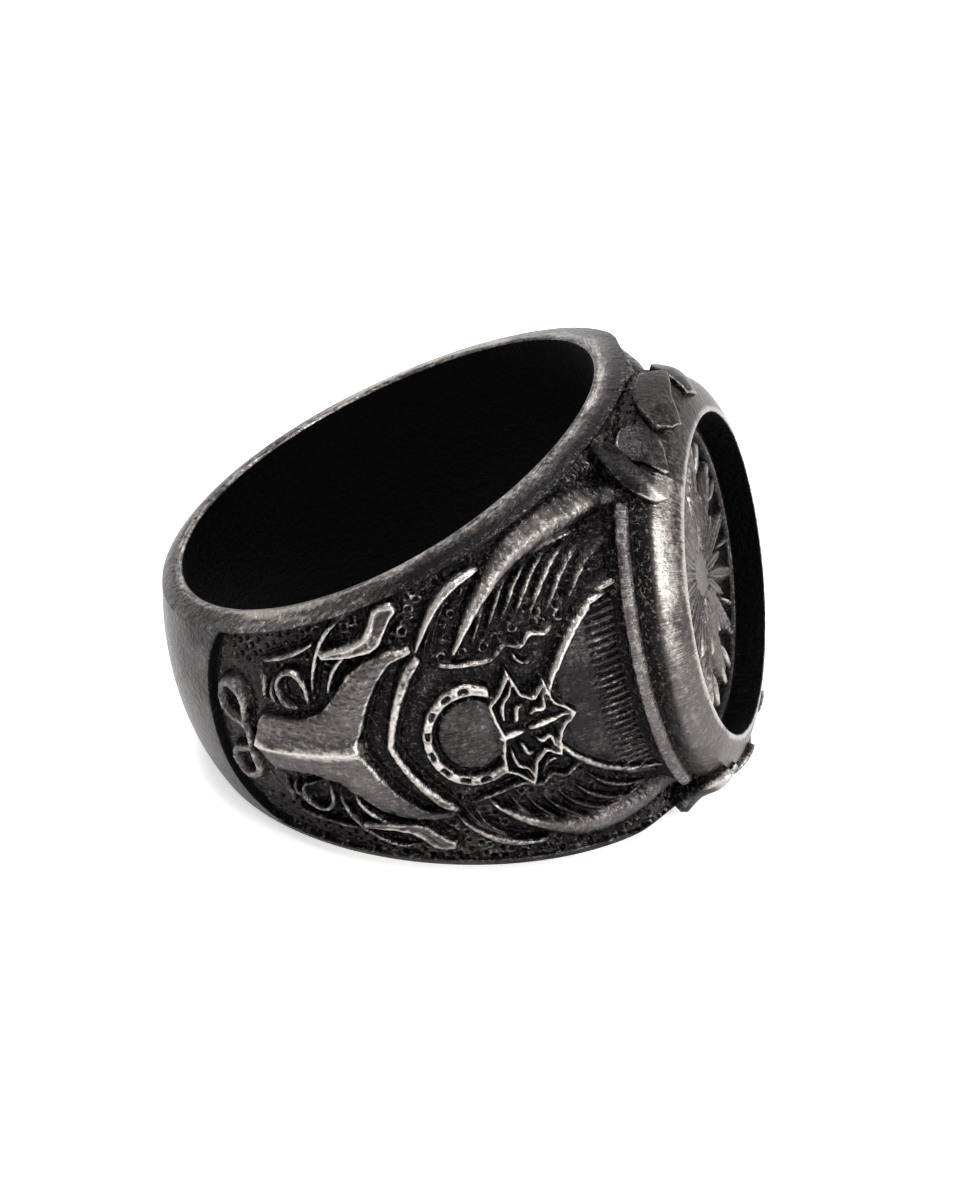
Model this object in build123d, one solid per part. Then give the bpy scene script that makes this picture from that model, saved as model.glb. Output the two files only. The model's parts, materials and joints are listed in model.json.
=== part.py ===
from build123d import *
from math import atan2, cos, degrees, radians, sin
import os

# A man's signet ring in blackened silver, lying on its side. It is built about its finger hole:
# X points out through the head, Z runs along the finger, and an angle counts from the head round to
# the back of the band. At the end it is tilted as it lies on a table. Millimetres and degrees.

# Band: what changes round the ring has a size at the back, at the side and at the head
bore_radius = 10.0
half_width = dict(back=4.48, side=6.66, head=9.80)     # half the band's width along the finger
edge_wall = dict(back=0.89, side=1.32, head=1.70)      # wall at the two rims
crest_wall = dict(back=1.51, side=3.03, head=3.40)     # wall in the middle of the band
rim_land = 0.45                                        # flat part of a rim, next to the finger hole
rim_round = 0.35                                       # how far a rim is rounded off
section_step = 20                                      # one section of the band each so many degrees
half_overlap = 20                                      # a half is lofted this far past the middle plane
spare_metal = 1.5                                      # left inside until the finger hole is bored

# Sunken field of a shoulder
field_depth = 0.55
field_lip = 0.30                                       # metal left between the field and the rim
field_slope = 0.25                                     # how much narrower the field is at its floor
field_end = 125.0                                      # angle where the field ends in a round arc
field_end_bow = 6.0                                    # how far the arc's ends stay behind, degrees
relief_middle = 0.35                                   # height of the ornament's middle line
stroke_sink = 0.18                                     # fine forms lie this much under the broad ones
field_clear = 1.5                                      # how far a cut reaches out past the band
field_first, field_last = 8, 148                       # the cut's shell is lofted between these angles
field_flare = 4.0                                      # how much the cut opens towards the head

drawing_distance = 6.0                                 # flat drawings lie this far from the middle

# Head: a rolled bead, the skirt under it, the barrel of the collar and its recess
opening_radius = 7.15
lip_width = 0.15
collar_top = 14.18                                     # from the middle of the finger hole
foot_height = 11.88                                    # middle of the bead at the collar's foot
foot_across = 8.12                                     # the bead's half size round the finger
foot_along = 9.42                                      # the bead's half size along the finger
bead_radius = 0.45
skirt_spread = 2.1                                     # how far the skirt runs out round the finger
skirt_rise = 3.0                                       # how far it reaches down below the bead
fan_height = 0.18                                      # raised forms on the skirt
recess_depth = 2.13
barrel_bulge = dict(across=0.30, along=-0.35)          # the barrel against the bead, at its widest
ribbon_height = 0.28
ribbon_root = 1.3                                      # how far below the bead the ribbons start

# Medallion in the recess
seat_gap = 0.06
plate_thick = 0.65
leaf_height = 0.45
leaf_count = 12
leaf_gap = dict(boss=0.35, border=0.55)                # clear ground at the two ends of a leaf
leaf_fullness = 0.72                                   # a leaf's width against its share of the circle
boss_radius = 1.5
border_width = 0.45


def along(size, angle):
    """The size at an angle from the head, from its values at the back, the side and the head."""
    c = cos(radians(angle))
    swing = (size["head"] - size["back"]) / 2
    bend = (size["head"] + size["back"]) / 2 - size["side"]
    return size["side"] + swing * c + bend * c * c


def crown_radius(angle, height):
    """Distance of the band's outer face from the middle of the finger hole."""
    edge, crest = along(edge_wall, angle), along(crest_wall, angle)
    share = height / along(half_width, angle)
    return bore_radius + crest - (crest - edge) * share * share


def radial_plane(angle):
    a = radians(angle)
    return Plane(origin=(0, 0, 0), x_dir=(cos(a), -sin(a), 0), z_dir=(-sin(a), -cos(a), 0))


def crown_arc(angle, height, lift):
    """An arc over the band from one height to its mirror, lifted from the outer face."""
    top = crown_radius(angle, height) + lift
    middle = crown_radius(angle, 0) + lift
    return ThreePointArc((top, height), (middle, 0), (top, -height))


def closed_face(plane, edges):
    return plane * make_face(Wire(edges))


def band_section(angle):
    h = along(half_width, angle)
    inside = bore_radius - spare_metal
    land, edge = bore_radius + rim_land, bore_radius + along(edge_wall, angle)
    side = h - rim_round
    crown = crown_arc(angle, side, 0)
    start, finish = crown @ 0, crown @ 1
    swell = (land * 0.3 + edge * 0.7, h - rim_round * 0.22)
    edges = [
        Line((inside, -h), (inside, h)),
        Line((inside, h), (land, h)),
        ThreePointArc((land, h), swell, start),
        crown,
        ThreePointArc(finish, (swell[0], -swell[1]), (land, -h)),
        Line((land, -h), (inside, -h)),
    ]
    return closed_face(radial_plane(angle), edges)


def shell_section(angle, low, high, slope):
    """A slice of a shell that follows the band's outer face, from one lift to another."""
    wide = along(half_width, angle) - field_lip
    outer, inner = crown_arc(angle, wide, high), crown_arc(angle, wide - slope, low)
    edges = [outer, Line(outer @ 1, inner @ 1), inner, Line(inner @ 0, outer @ 0)]
    return closed_face(radial_plane(angle), edges)


def half_loft(section, first, last):
    steps = round((last - first) / section_step)
    angles = [first + (last - first) * i / steps for i in range(steps + 1)]
    return loft([section(a) for a in angles])


def build_band():
    """Half of the band is lofted past both ends, cut at the middle plane and mirrored."""
    room = 4 * bore_radius
    near_side = Location((0, -room / 2, 0)) * Box(room, room, room)
    return half_loft(band_section, -half_overlap, 180 + half_overlap) & near_side


# Ornament of a shoulder. Places are (angle from the head, height from the middle line)

def shoulder_plane(angle):
    a = radians(angle)
    return Plane(
        origin=(drawing_distance * cos(a), -drawing_distance * sin(a), 0),
        x_dir=(sin(a), cos(a), 0),
        z_dir=(cos(a), -sin(a), 0),
    )


def on_plane(place, facing):
    """A place on the shoulder as a point of the flat drawing that faces one angle."""
    angle, height = place
    reach = crown_radius(angle, height + relief_middle)
    return (reach * sin(radians(facing - angle)), height + relief_middle)


def mirrored(place):
    return (place[0], -place[1])


def crescent(row, facing, flip):
    """Two arcs between a root and a tip, one over the outer place and one over the inner."""
    places = [row["root"], row["outer"], row["tip"], row["inner"]]
    if flip:
        places = [mirrored(p) for p in places]
    root, outer, tip, inner = [on_plane(p, facing) for p in places]
    return make_face(Wire([ThreePointArc(root, outer, tip), ThreePointArc(tip, inner, root)]))


def outline(places, facing):
    points = [on_plane(p, facing) for p in places]
    return make_face(Wire.make_polygon(points, close=True))


def symmetric(half):
    """A closed outline from the places of its upper half."""
    return half + [mirrored(p) for p in reversed(half) if p[1] > 0]


plumes = [
    dict(root=(22.0, 6.5), outer=(43.0, 8.00), tip=(68.2, 3.7), inner=(45.0, 6.55)),
    dict(root=(59.0, 6.7), outer=(68.5, 6.50), tip=(74.5, 4.4), inner=(66.8, 5.85)),
]
strokes = dict(
    count=8,
    first=dict(root=(28.0, 5.1), outer=(38.0, 4.70), tip=(47.0, 3.0), inner=(37.0, 4.40)),
    last=dict(root=(58.0, 5.6), outer=(61.6, 4.80), tip=(63.0, 3.4), inner=(60.3, 4.70)),
)
tendrils = [
    dict(root=(84.0, 5.9), outer=(93.5, 5.0), tip=(97.0, 2.6), inner=(92.0, 4.75)),
    dict(root=(82.5, 4.6), outer=(91.0, 4.0), tip=(93.2, 2.4), inner=(89.8, 3.75)),
    dict(root=(96.5, 4.6), outer=(103.0, 4.6), tip=(108.5, 3.8), inner=(102.0, 4.05)),
    dict(root=(108.5, 3.9), outer=(110.5, 3.0), tip=(108.0, 1.9), inner=(109.2, 2.9)),
]
wave_ribbon = [(75.3, 6.5), (79.0, 6.4), (81.8, 5.6), (85.5, 5.1), (93.0, 4.8),
               (92.6, 4.4), (84.5, 4.6), (79.8, 5.0), (77.8, 5.8)]
loops = [
    dict(middle=(102.3, 2.95), across=0.62, along=0.85, wall=0.30),
    dict(middle=(119.2, 1.80), across=0.85, along=0.70, wall=0.38),
]
anchor_stem = [(112.6, 0.7), (110.0, 1.55), (101.0, 1.6)]
anchor_outer = [(95.5, 1.95), (91.2, 3.1), (86.0, 4.10), (79.5, 4.45)]
anchor_tip = [(73.6, 4.2), (73.9, 3.85)]
anchor_inner = [(79.5, 3.75), (84.3, 2.45), (87.2, 1.0), (88.8, 0.0)]
chevron = dict(tip=84.0, end=78.2, height=3.3, width=1.5)
disc_middle = 67.5
disc_rings = dict(outer=2.50, inner=1.92, core=1.65)
disc_notch = dict(count=5, first=130, last=230, long=0.42, wide=0.30)
palmette = [(62.4, 1.25), (60.3, 1.75), (58.2, 2.85), (56.3, 1.55), (52.0, 1.85), (51.4, 0.85),
            (47.8, 0.0)]
fan_edge = dict(root=(29.0, 4.35), middle=(42.0, 3.35), tip=(51.5, 0.95), width=0.34)
hatch = dict(count=24, start=34.0, length=5.0, top=3.4, bottom=-4.6, width=0.17)
drawing_angles = (38.0, 62.0, 85.0, 112.0)


def facing_of(angle):
    return min(drawing_angles, key=lambda a: abs(a - angle))


def blend_rows(first, last, share):
    return {
        key: tuple(a + (b - a) * share for a, b in zip(first[key], last[key])) for key in first
    }


def middle_angle(row):
    return (row["root"][0] + row["tip"][0]) / 2


def draw_loop(row, facing, flip):
    place = mirrored(row["middle"]) if flip else row["middle"]
    spot = Location(on_plane(place, facing))
    wall = row["wall"]
    hole = Ellipse(row["across"] - wall, row["along"] - wall)
    return spot * (Ellipse(row["across"], row["along"]) - hole)


def draw_disc(facing):
    spot = Location(on_plane((disc_middle, 0), facing))
    ring = Circle(disc_rings["outer"]) - Circle(disc_rings["inner"])
    reach = (disc_rings["outer"] + disc_rings["inner"]) / 2
    for i in range(disc_notch["count"]):
        share = i / (disc_notch["count"] - 1)
        turn = disc_notch["first"] + (disc_notch["last"] - disc_notch["first"]) * share
        place = Location((reach * cos(radians(turn)), reach * sin(radians(turn))), turn)
        ring -= place * Rectangle(disc_notch["wide"], disc_notch["long"])
    return spot * (ring + Circle(disc_rings["core"]))


def draw_chevron(facing):
    tip, end, high, wide = (chevron[key] for key in ("tip", "end", "height", "width"))
    places = [(tip, 0), (end, high), (end - wide * 1.6, high), (tip - wide, 0)]
    places += [(end - wide * 1.6, -high), (end, -high)]
    return outline(places, facing)


def draw_fan_edge(facing, flip):
    places = [fan_edge["root"], fan_edge["middle"], fan_edge["tip"]]
    if flip:
        places = [mirrored(p) for p in places]
    a, b, c = [on_plane(p, facing) for p in places]
    spread = fan_edge["width"] / 2
    path = Wire([ThreePointArc(a, b, c)])
    return make_face(path.offset_2d(spread, kind=Kind.ARC))


def draw_hatch(facing):
    marks = Sketch()
    for i in range(hatch["count"]):
        share = i / (hatch["count"] - 1)
        height = hatch["bottom"] + (hatch["top"] - hatch["bottom"]) * share
        x1, y = on_plane((hatch["start"] + hatch["length"], height), facing)
        x0, y = on_plane((hatch["start"], height), facing)
        marks += Location(((x0 + x1) / 2, y)) * Rectangle(x0 - x1, hatch["width"])
    return marks


def drawings():
    """Flat drawings of the broad and the fine forms, gathered by the angle that they face."""
    broad = {a: [] for a in drawing_angles}
    fine = {a: [] for a in drawing_angles}
    anchor = symmetric(anchor_stem + anchor_outer + anchor_tip + anchor_inner)
    broad[85.0].append(outline(anchor, 85.0))
    fine[85.0].append(draw_chevron(85.0))
    broad[62.0].append(draw_disc(62.0))
    broad[62.0].append(outline(symmetric(palmette), 62.0))
    fine[38.0].append(draw_hatch(38.0))
    rows = [blend_rows(strokes["first"], strokes["last"], i / (strokes["count"] - 1))
            for i in range(strokes["count"])]
    for flip in (False, True):
        for row in plumes:
            facing = facing_of(middle_angle(row))
            broad[facing].append(crescent(row, facing, flip))
        for row in rows + tendrils:
            facing = facing_of(middle_angle(row))
            fine[facing].append(crescent(row, facing, flip))
        for row in loops:
            facing = facing_of(row["middle"][0])
            fine[facing].append(draw_loop(row, facing, flip))
        places = [mirrored(p) for p in wave_ribbon] if flip else wave_ribbon
        broad[85.0].append(outline(places, 85.0))
        fine[38.0].append(draw_fan_edge(38.0, flip))
    return broad, fine


def raise_drawing(faces, facing):
    return extrude(shoulder_plane(facing) * (Sketch() + faces), amount=bore_radius)


# Head

def oval(x, across, length):
    plane = Plane(origin=(x, 0, 0), x_dir=(0, 1, 0), z_dir=(1, 0, 0))
    return plane * Ellipse(across, length)


def build_skirt(lift):
    """A cone under the bead that carries the shoulders up to the collar."""
    low = foot_height - skirt_rise
    ovals = [
        oval(low, foot_across + skirt_spread + lift, foot_along + lift / 2),
        oval(foot_height, foot_across + lift, foot_along + lift / 2),
    ]
    return loft(ovals, ruled=True)


def build_barrel(lift):
    """The collar from the bead to the lip, lofted through ovals that turn into the round opening."""
    lip = opening_radius + lip_width
    height = collar_top - foot_height
    wide_across = foot_across + barrel_bulge["across"]
    wide_along = foot_along + barrel_bulge["along"]
    low_along = foot_along - bead_radius * 0.4
    # share of the height from the bead to the lip, half size across the finger, half size along it
    rows = [
        (-0.30, foot_across - bead_radius * 0.5, low_along),
        (0.22, foot_across, low_along),
        (0.52, wide_across, wide_along),
        (0.79, lip + (wide_across - lip) * 0.75, lip + (wide_along - lip) * 0.68),
        (0.94, lip + (wide_across - lip) * 0.38, lip + (wide_along - lip) * 0.33),
        (1.00, lip, lip),
    ]
    return loft([oval(foot_height + height * s, a + lift, b + lift) for s, a, b in rows])


def build_bead():
    plane = Plane(origin=(foot_height, 0, 0), x_dir=(0, 1, 0), z_dir=(1, 0, 0))
    path = Wire([plane * Edge.make_ellipse(foot_across, foot_along)])
    start = Plane(origin=path @ 0, z_dir=path % 0)
    return sweep(start * Circle(bead_radius), path=path)


# Outlines of the ribbon ends: places (across the finger, along the finger) on the collar
ribbons = [
    [(-2.75, 8.95), (-3.55, 9.15), (-4.55, 7.95), (-5.30, 6.90), (-4.55, 6.70), (-3.70, 7.85)],
    [(-1.85, 9.00), (-2.60, 9.35), (-3.35, 8.75), (-4.05, 7.70), (-3.45, 7.35), (-2.70, 8.20)],
    [(-1.25, 9.60), (1.25, 9.60), (1.75, 8.80), (0.95, 7.75), (-0.95, 7.75), (-1.75, 8.80)],
]


def draw_ribbons():
    plane = Plane(origin=(foot_height - ribbon_root, 0, 0), x_dir=(0, 1, 0), z_dir=(1, 0, 0))
    shapes = Sketch()
    for side in (1, -1):
        for end in (1, -1):
            for points in ribbons[: 3 if side == 1 else 2]:
                places = [(side * y, end * z) for y, z in points]
                shapes += make_face(Wire.make_polygon(places, close=True))
    return plane * shapes


def build_head():
    collar = build_barrel(0)
    ribbon_skin = build_barrel(ribbon_height) + build_skirt(ribbon_height)
    strips = extrude(draw_ribbons(), amount=collar_top - foot_height + ribbon_root) & ribbon_skin
    return build_skirt(0) + build_bead() + collar + strips


def recess(radius, top):
    seat = collar_top - recess_depth
    plane = Plane(origin=(seat, 0, 0), x_dir=(0, 1, 0), z_dir=(1, 0, 0))
    return extrude(plane * Circle(radius), amount=top - seat)


# Medallion: a plate with a border, a boss and a ring of pointed leaves

def build_medallion():
    radius = opening_radius - seat_gap
    seat = collar_top - recess_depth + seat_gap
    base = Plane(origin=(seat, 0, 0), x_dir=(0, 1, 0), z_dir=(1, 0, 0))
    face = base.offset(plate_thick / 2)
    relief = Circle(radius) - Circle(radius - border_width)
    inner = boss_radius + leaf_gap["boss"]
    outer = radius - border_width - leaf_gap["border"]
    half_leaf = radians(180 / leaf_count) * (inner + outer) / 2 * leaf_fullness
    middle = (inner + outer) / 2
    leaf = make_face(Wire([
        ThreePointArc((inner, 0), (middle, half_leaf), (outer, 0)),
        ThreePointArc((outer, 0), (middle, -half_leaf), (inner, 0)),
    ]))
    for i in range(leaf_count):
        relief += Rotation(0, 0, 360 * i / leaf_count) * leaf
    plate = extrude(base * Circle(radius), amount=plate_thick)
    raised = extrude(face * relief, amount=plate_thick / 2 + leaf_height)
    boss = extrude(face * Circle(boss_radius), amount=plate_thick / 2 + leaf_height)
    rim = boss.edges().filter_by(GeomType.CIRCLE).sort_by(Axis.X)[-1:]
    boss = fillet(rim, radius=leaf_height * 0.8)
    return plate + raised + boss


def build_field(prisms, low):
    """What is cut from a shoulder above one level, all round the forms that stand up to the band."""
    field = half_loft(
        lambda a: shell_section(a, -low, field_clear, field_slope), field_first, field_last
    )
    facing = field_end - 10
    end_plane = shoulder_plane(facing).offset(-bore_radius)
    middle = on_plane((field_end, -relief_middle), facing)
    corner = field_end - field_end_bow
    reach = along(half_width, corner)
    top, bottom = [on_plane((corner, side * reach - relief_middle), facing) for side in (1, -1)]
    far = 2.4 * bore_radius
    keep = Wire([
        ThreePointArc(top, middle, bottom),
        Line(bottom, (far, bottom[1] - field_flare)),
        Line((far, bottom[1] - field_flare), (far, top[1] + field_flare)),
        Line((far, top[1] + field_flare), top),
    ])
    field = field & extrude(end_plane * make_face(keep), amount=3 * bore_radius)
    return field.cut(*prisms)


def build_body():
    broad, fine = drawings()
    broad = {a: raise_drawing(faces, a) for a, faces in broad.items() if faces}
    fine = {a: raise_drawing(faces, a) for a, faces in fine.items() if faces}
    half = build_band()
    half = half - build_field(broad.values(), stroke_sink)
    half = half - build_field([*broad.values(), *fine.values()], field_depth)
    near = drawing_angles[0]
    on_skirt = (broad[near] + fine[near]) & build_skirt(fan_height)
    room = 4 * bore_radius
    near_side = Location((0, -room / 2, 0)) * Box(room, room, room)
    half = half.fuse(build_head() & near_side, on_skirt)
    half = half - Cylinder(bore_radius, 6 * bore_radius) - recess(opening_radius, collar_top + 1)
    return half.fuse(half.mirror(Plane.XZ))


def rest_pose(body):
    """Tilted until the head's rim and the back's rim touch the table, then set on it."""
    drop = half_width["head"] - half_width["back"]
    tilt = degrees(atan2(drop, 2 * bore_radius + rim_land))
    turned = Rotation(0, -tilt, 0) * body
    box = turned.bounding_box()
    place = Location((-(box.min.X + box.max.X) / 2, -(box.min.Y + box.max.Y) / 2, -box.min.Z))
    return place * Rotation(0, -tilt, 0), tilt


ring_body = build_body()
medallion = build_medallion()
place, tilt = rest_pose(ring_body)
print("rest tilt", round(tilt, 3))
os.makedirs("parts", exist_ok=True)
export_step(place * ring_body, "parts/ring_body.step")
export_step(place * medallion, "parts/medallion.step")
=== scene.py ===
import json
import math
import random
import bpy
import numpy as np
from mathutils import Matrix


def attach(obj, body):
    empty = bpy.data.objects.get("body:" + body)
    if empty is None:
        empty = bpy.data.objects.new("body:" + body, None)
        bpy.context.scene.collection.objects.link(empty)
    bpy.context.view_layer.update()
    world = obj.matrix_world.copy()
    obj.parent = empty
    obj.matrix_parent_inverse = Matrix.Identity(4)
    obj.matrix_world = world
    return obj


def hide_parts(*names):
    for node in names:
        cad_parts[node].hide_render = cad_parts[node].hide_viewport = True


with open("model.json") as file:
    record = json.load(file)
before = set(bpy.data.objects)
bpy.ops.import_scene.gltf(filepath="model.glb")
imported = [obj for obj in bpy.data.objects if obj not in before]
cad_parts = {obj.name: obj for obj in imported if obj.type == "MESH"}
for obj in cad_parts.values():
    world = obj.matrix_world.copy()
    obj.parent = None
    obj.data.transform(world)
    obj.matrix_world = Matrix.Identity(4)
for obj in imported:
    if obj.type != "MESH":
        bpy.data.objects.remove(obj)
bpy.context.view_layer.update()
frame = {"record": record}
fingerHole = frame["record"]["mounts"][0]
holeMiddle = np.array(fingerHole["pos_m"])
lean = math.atan2(-fingerHole["axis"][0], fingerHole["axis"][2])
millimetre = 0.001    # pieces are shaped in millimetres, x out through the head and z along the finger
print("frame loaded, the ring leans", round(math.degrees(lean), 2))


def clearSelection():
    if bpy.context.mode != "OBJECT":
        bpy.ops.object.mode_set(mode="OBJECT")
    bpy.ops.object.select_all(action="DESELECT")


def readPoints(piece):
    points = np.empty(len(piece.data.vertices) * 3)
    piece.data.vertices.foreach_get("co", points)
    return points.reshape(-1, 3)


def writePoints(piece, points):
    piece.data.vertices.foreach_set("co", np.ascontiguousarray(points, dtype=np.float64).ravel())
    piece.data.update()


def settle(piece):    # from the ring's own place to the place where it lies on the table
    p = readPoints(piece)
    x = p[:, 0] * math.cos(lean) - p[:, 2] * math.sin(lean)
    z = p[:, 0] * math.sin(lean) + p[:, 2] * math.cos(lean)
    writePoints(piece, np.stack([x, p[:, 1], z], 1) * millimetre + holeMiddle)


def paintMask(piece, name, values):
    layer = piece.data.attributes.new(name, "FLOAT", "POINT")
    layer.data.foreach_set("value", np.ascontiguousarray(values, dtype=np.float32).ravel())


def paintLay(piece, along, across):    # millimetres along the brushing and across it
    layer = piece.data.attributes.new("lay", "FLOAT_VECTOR", "POINT")
    values = np.stack([along, across, np.zeros(len(along))], 1).astype(np.float32)
    layer.data.foreach_set("vector", values.ravel())


def finishMesh(piece, material, joinWithin=0.0005):
    clearSelection()
    piece.select_set(True)
    bpy.context.view_layer.objects.active = piece
    bpy.ops.object.mode_set(mode="EDIT")
    bpy.ops.mesh.select_all(action="SELECT")
    bpy.ops.mesh.remove_doubles(threshold=joinWithin)
    bpy.ops.mesh.normals_make_consistent(inside=False)
    bpy.ops.object.mode_set(mode="OBJECT")
    bpy.ops.object.shade_smooth()
    settle(piece)
    piece.data.materials.append(material)
    print(piece.name, "made,", len(piece.data.polygons), "faces")


def gridPiece(name, columns, rows):    # a flat grid and the column and row of each of its points
    clearSelection()
    bpy.ops.mesh.primitive_grid_add(x_subdivisions=columns, y_subdivisions=rows, size=2)
    piece = bpy.context.object
    piece.name = name
    flat = readPoints(piece)
    column = np.rint((flat[:, 0] + 1) / 2 * columns).astype(int)
    row = np.rint((flat[:, 1] + 1) / 2 * rows).astype(int)
    return piece, column, row


def smoothStep(x):
    x = np.clip(x, 0, 1)
    return x * x * (3 - 2 * x)


def rise(x, span):    # from 0 to 1 over a span: its start and its width, which is negative for a fall
    start, width = span
    return smoothStep((x - start) / width)


def peak(x, spot):    # a soft bump of height 1: its middle and its width
    middle, width = spot
    return np.exp(-((x - middle) / width) ** 2)


def curveThrough(points, steps=6):
    p = np.array(points, dtype=float)
    if len(p) < 3:
        return p
    ends = np.vstack([2 * p[0] - p[1], p, 2 * p[-1] - p[-2]])
    rows = []
    for i in range(1, len(ends) - 2):
        a, b, c, d = ends[i - 1], ends[i], ends[i + 1], ends[i + 2]
        for t in np.arange(steps) / steps:
            rows.append(0.5 * (2 * b + (c - a) * t + (2 * a - 5 * b + 4 * c - d) * t * t
                               + (3 * b - a - 3 * c + d) * t ** 3))
    rows.append(p[-1])
    return np.array(rows)


def boxBlur(values, reach):
    out = values
    for axis in (0, 1):
        pad = [(0, 0), (0, 0)]
        pad[axis] = (reach + 1, reach)
        run = np.cumsum(np.pad(out, pad, mode="edge"), axis=axis)
        size = 2 * reach + 1
        upper = np.take(run, range(size, run.shape[axis]), axis=axis)
        lower = np.take(run, range(0, run.shape[axis] - size), axis=axis)
        out = (upper - lower) / size
    return out


def besideLine(s, z, start, end):    # share along a straight stretch, and the distance from it
    ds, dz = end[0] - start[0], end[1] - start[1]
    t = ((s - start[0]) * ds + (z - start[1]) * dz) / max(ds * ds + dz * dz, 1e-9)
    t = np.clip(t, 0, 1)
    return t, np.hypot(s - start[0] - t * ds, z - start[1] - t * dz)


relief = {
    "far": 9.0,                       # stands for a distance or a depth that nothing reaches
    "margin": 0.5,                    # the sheet is measured this far round a form
    "lineSide": (0.6, 0.5, 0.12),     # a line is rounded over this share of its half width; the least width
    "thinLine": 0.10, "thinnest": 0.3,    # a line thinner than this is lower, down to this share
    "veinWidth": 0.06, "veinFrom": 0.25,
    "roofReach": 0.8,                 # a plate's roof rises over this distance from its edge
    "sunkEdge": 0.10, "grooveSide": 0.09, "moatWidth": 0.16,
    "craterRim": 0.42, "craterWear": 0.22,
    "edge": (0.01, 0.08), "edgeWear": 0.62,       # what stands above its near surroundings is worn
    "proud": (0, 0.30), "proudWear": 0.32,        # and what stands above its wider ones
    "polish": (-0.40, 0.46), "lowWear": 0.55,     # with the height the metal gets brighter
    "hollow": 0.13, "deep": (-0.44, -0.42), "rubbedClean": 0.6,
}


def craterShape(away, radius):    # a raised ring and the bowl inside it
    ring = peak(away, (radius, radius * relief["craterRim"]))
    return ring, rise(away, (radius * 0.9, -radius * 0.8))


class Relief:    # a sheet seen flat, s along it and z across, on which forms are raised
    def __init__(self, s, z, height):
        self.s, self.z, self.height = s, z, height
        self.nearest = np.full(s.shape, relief["far"])
        self.rubbed = np.zeros(s.shape)
        self.forms, self.cuts, self.roofs, self.rubs = [], [], [], []

    def window(self, path, margin):
        return np.nonzero((self.s > path[:, 0].min() - margin) & (self.s < path[:, 0].max() + margin)
                          & (self.z > path[:, 1].min() - margin) & (self.z < path[:, 1].max() + margin))

    def stroke(self, points, top, vein=0.0):
        self.forms.append(("stroke", curveThrough(points), top, vein))

    def plate(self, points, top, bevel=0.16, roof=0.0, border=relief["far"], sunk=0.0):
        self.forms.append(("plate", np.array(list(points) + [points[0]]), top, (bevel, roof, border, sunk)))

    def groove(self, points, depth):
        self.cuts.append((curveThrough(points), depth))

    def ridge(self, points, height):    # a roof on top of a form
        self.roofs.append((curveThrough(points), height))

    def rub(self, points, amount):    # a line worn bright
        self.rubs.append((curveThrough(points), amount))

    def measureStroke(self, path):    # distance outside a tapered line, its half width, distance to its middle
        spot = self.window(path, path[:, 2].max() + relief["margin"])
        s, z = self.s[spot], self.z[spot]
        best, middle = np.full(s.shape, relief["far"]), np.full(s.shape, relief["far"])
        width = np.full(s.shape, relief["thinLine"])
        for start, end in zip(path[:-1], path[1:]):
            t, away = besideLine(s, z, start, end)
            w = start[2] + (end[2] - start[2]) * t
            closer = away - w < best
            best = np.where(closer, away - w, best)
            width = np.where(closer, w, width)
            middle = np.where(closer, away, middle)
        return spot, best, width, middle

    def measurePlate(self, path):    # distance outside an outline, negative inside
        spot = self.window(path, relief["margin"])
        s, z = self.s[spot], self.z[spot]
        best, inside = np.full(s.shape, relief["far"]), np.zeros(s.shape, dtype=bool)
        for start, end in zip(path[:-1], path[1:]):
            best = np.minimum(best, besideLine(s, z, start, end)[1])
            ds, dz = end[0] - start[0], end[1] - start[1]
            crosses = (start[1] > z) != (end[1] > z)
            inside ^= crosses & (s < start[0] + (z - start[1]) * ds / (dz if dz else 1e-12))
        return spot, np.where(inside, -best, best)

    def strokeHeight(self, low, measures, top, vein):
        away, width, middle = measures
        share, growth, least = relief["lineSide"]
        side = np.maximum(width * np.clip(share + growth * width, share, 1), least)
        swell = np.sin(np.clip(-away / side, 0, 1) * math.pi / 2)
        full = np.clip(width / relief["thinLine"], relief["thinnest"], 1)
        crease = peak(middle, (0, relief["veinWidth"])) * smoothStep(width / relief["veinFrom"])
        return low + (top - low) * swell * full - vein * crease

    def plateHeight(self, low, away, top, shape):
        bevel, roof, border, sunk = shape
        made = low + (top - low) * smoothStep(-away / bevel)
        made = made + roof * np.clip(-away / relief["roofReach"], 0, 1)
        return made - sunk * smoothStep((-away - border) / relief["sunkEdge"])

    def build(self, moat, dots=None):
        raised = np.full(self.s.shape, -relief["far"])
        for kind, path, top, shape in self.forms:
            if kind == "stroke":
                spot, away, width, middle = self.measureStroke(path)
                made = self.strokeHeight(self.height[spot], (away, width, middle), top, shape)
            else:
                spot, away = self.measurePlate(path)
                made = self.plateHeight(self.height[spot], away, top, shape)
            raised[spot] = np.maximum(raised[spot], np.where(away < 0, made, -relief["far"]))
            self.nearest[spot] = np.minimum(self.nearest[spot], away)
        for path, height in self.roofs:
            spot, away, width = self.measureStroke(path)[:3]
            raised[spot] += height * np.clip(-away / width, 0, 1) * (raised[spot] > -relief["far"] / 2)
        for path, depth in self.cuts:
            spot, away, width = self.measureStroke(path)[:3]
            raised[spot] -= depth * smoothStep(-away / np.maximum(width, relief["grooveSide"]))
        self.height -= moat * peak(np.maximum(self.nearest, 0), (0, relief["moatWidth"]))
        if dots:
            dots(self)
        self.height = boxBlur(np.maximum(self.height, raised), 1)
        for path, amount in self.rubs:
            spot, away, width, middle = self.measureStroke(path)
            self.rubbed[spot] = np.maximum(self.rubbed[spot], amount * peak(middle, (0, width)))

    def crater(self, s0, z0, radius, rim, pit):
        spot = self.window(np.array([[s0, z0]]), radius * 2.2)
        away = np.hypot(self.s[spot] - s0, self.z[spot] - z0)
        ring, bowl = craterShape(away, radius)
        self.height[spot] += rim * ring - pit * bowl
        self.rubbed[spot] = np.maximum(self.rubbed[spot], ring * relief["craterWear"])

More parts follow.
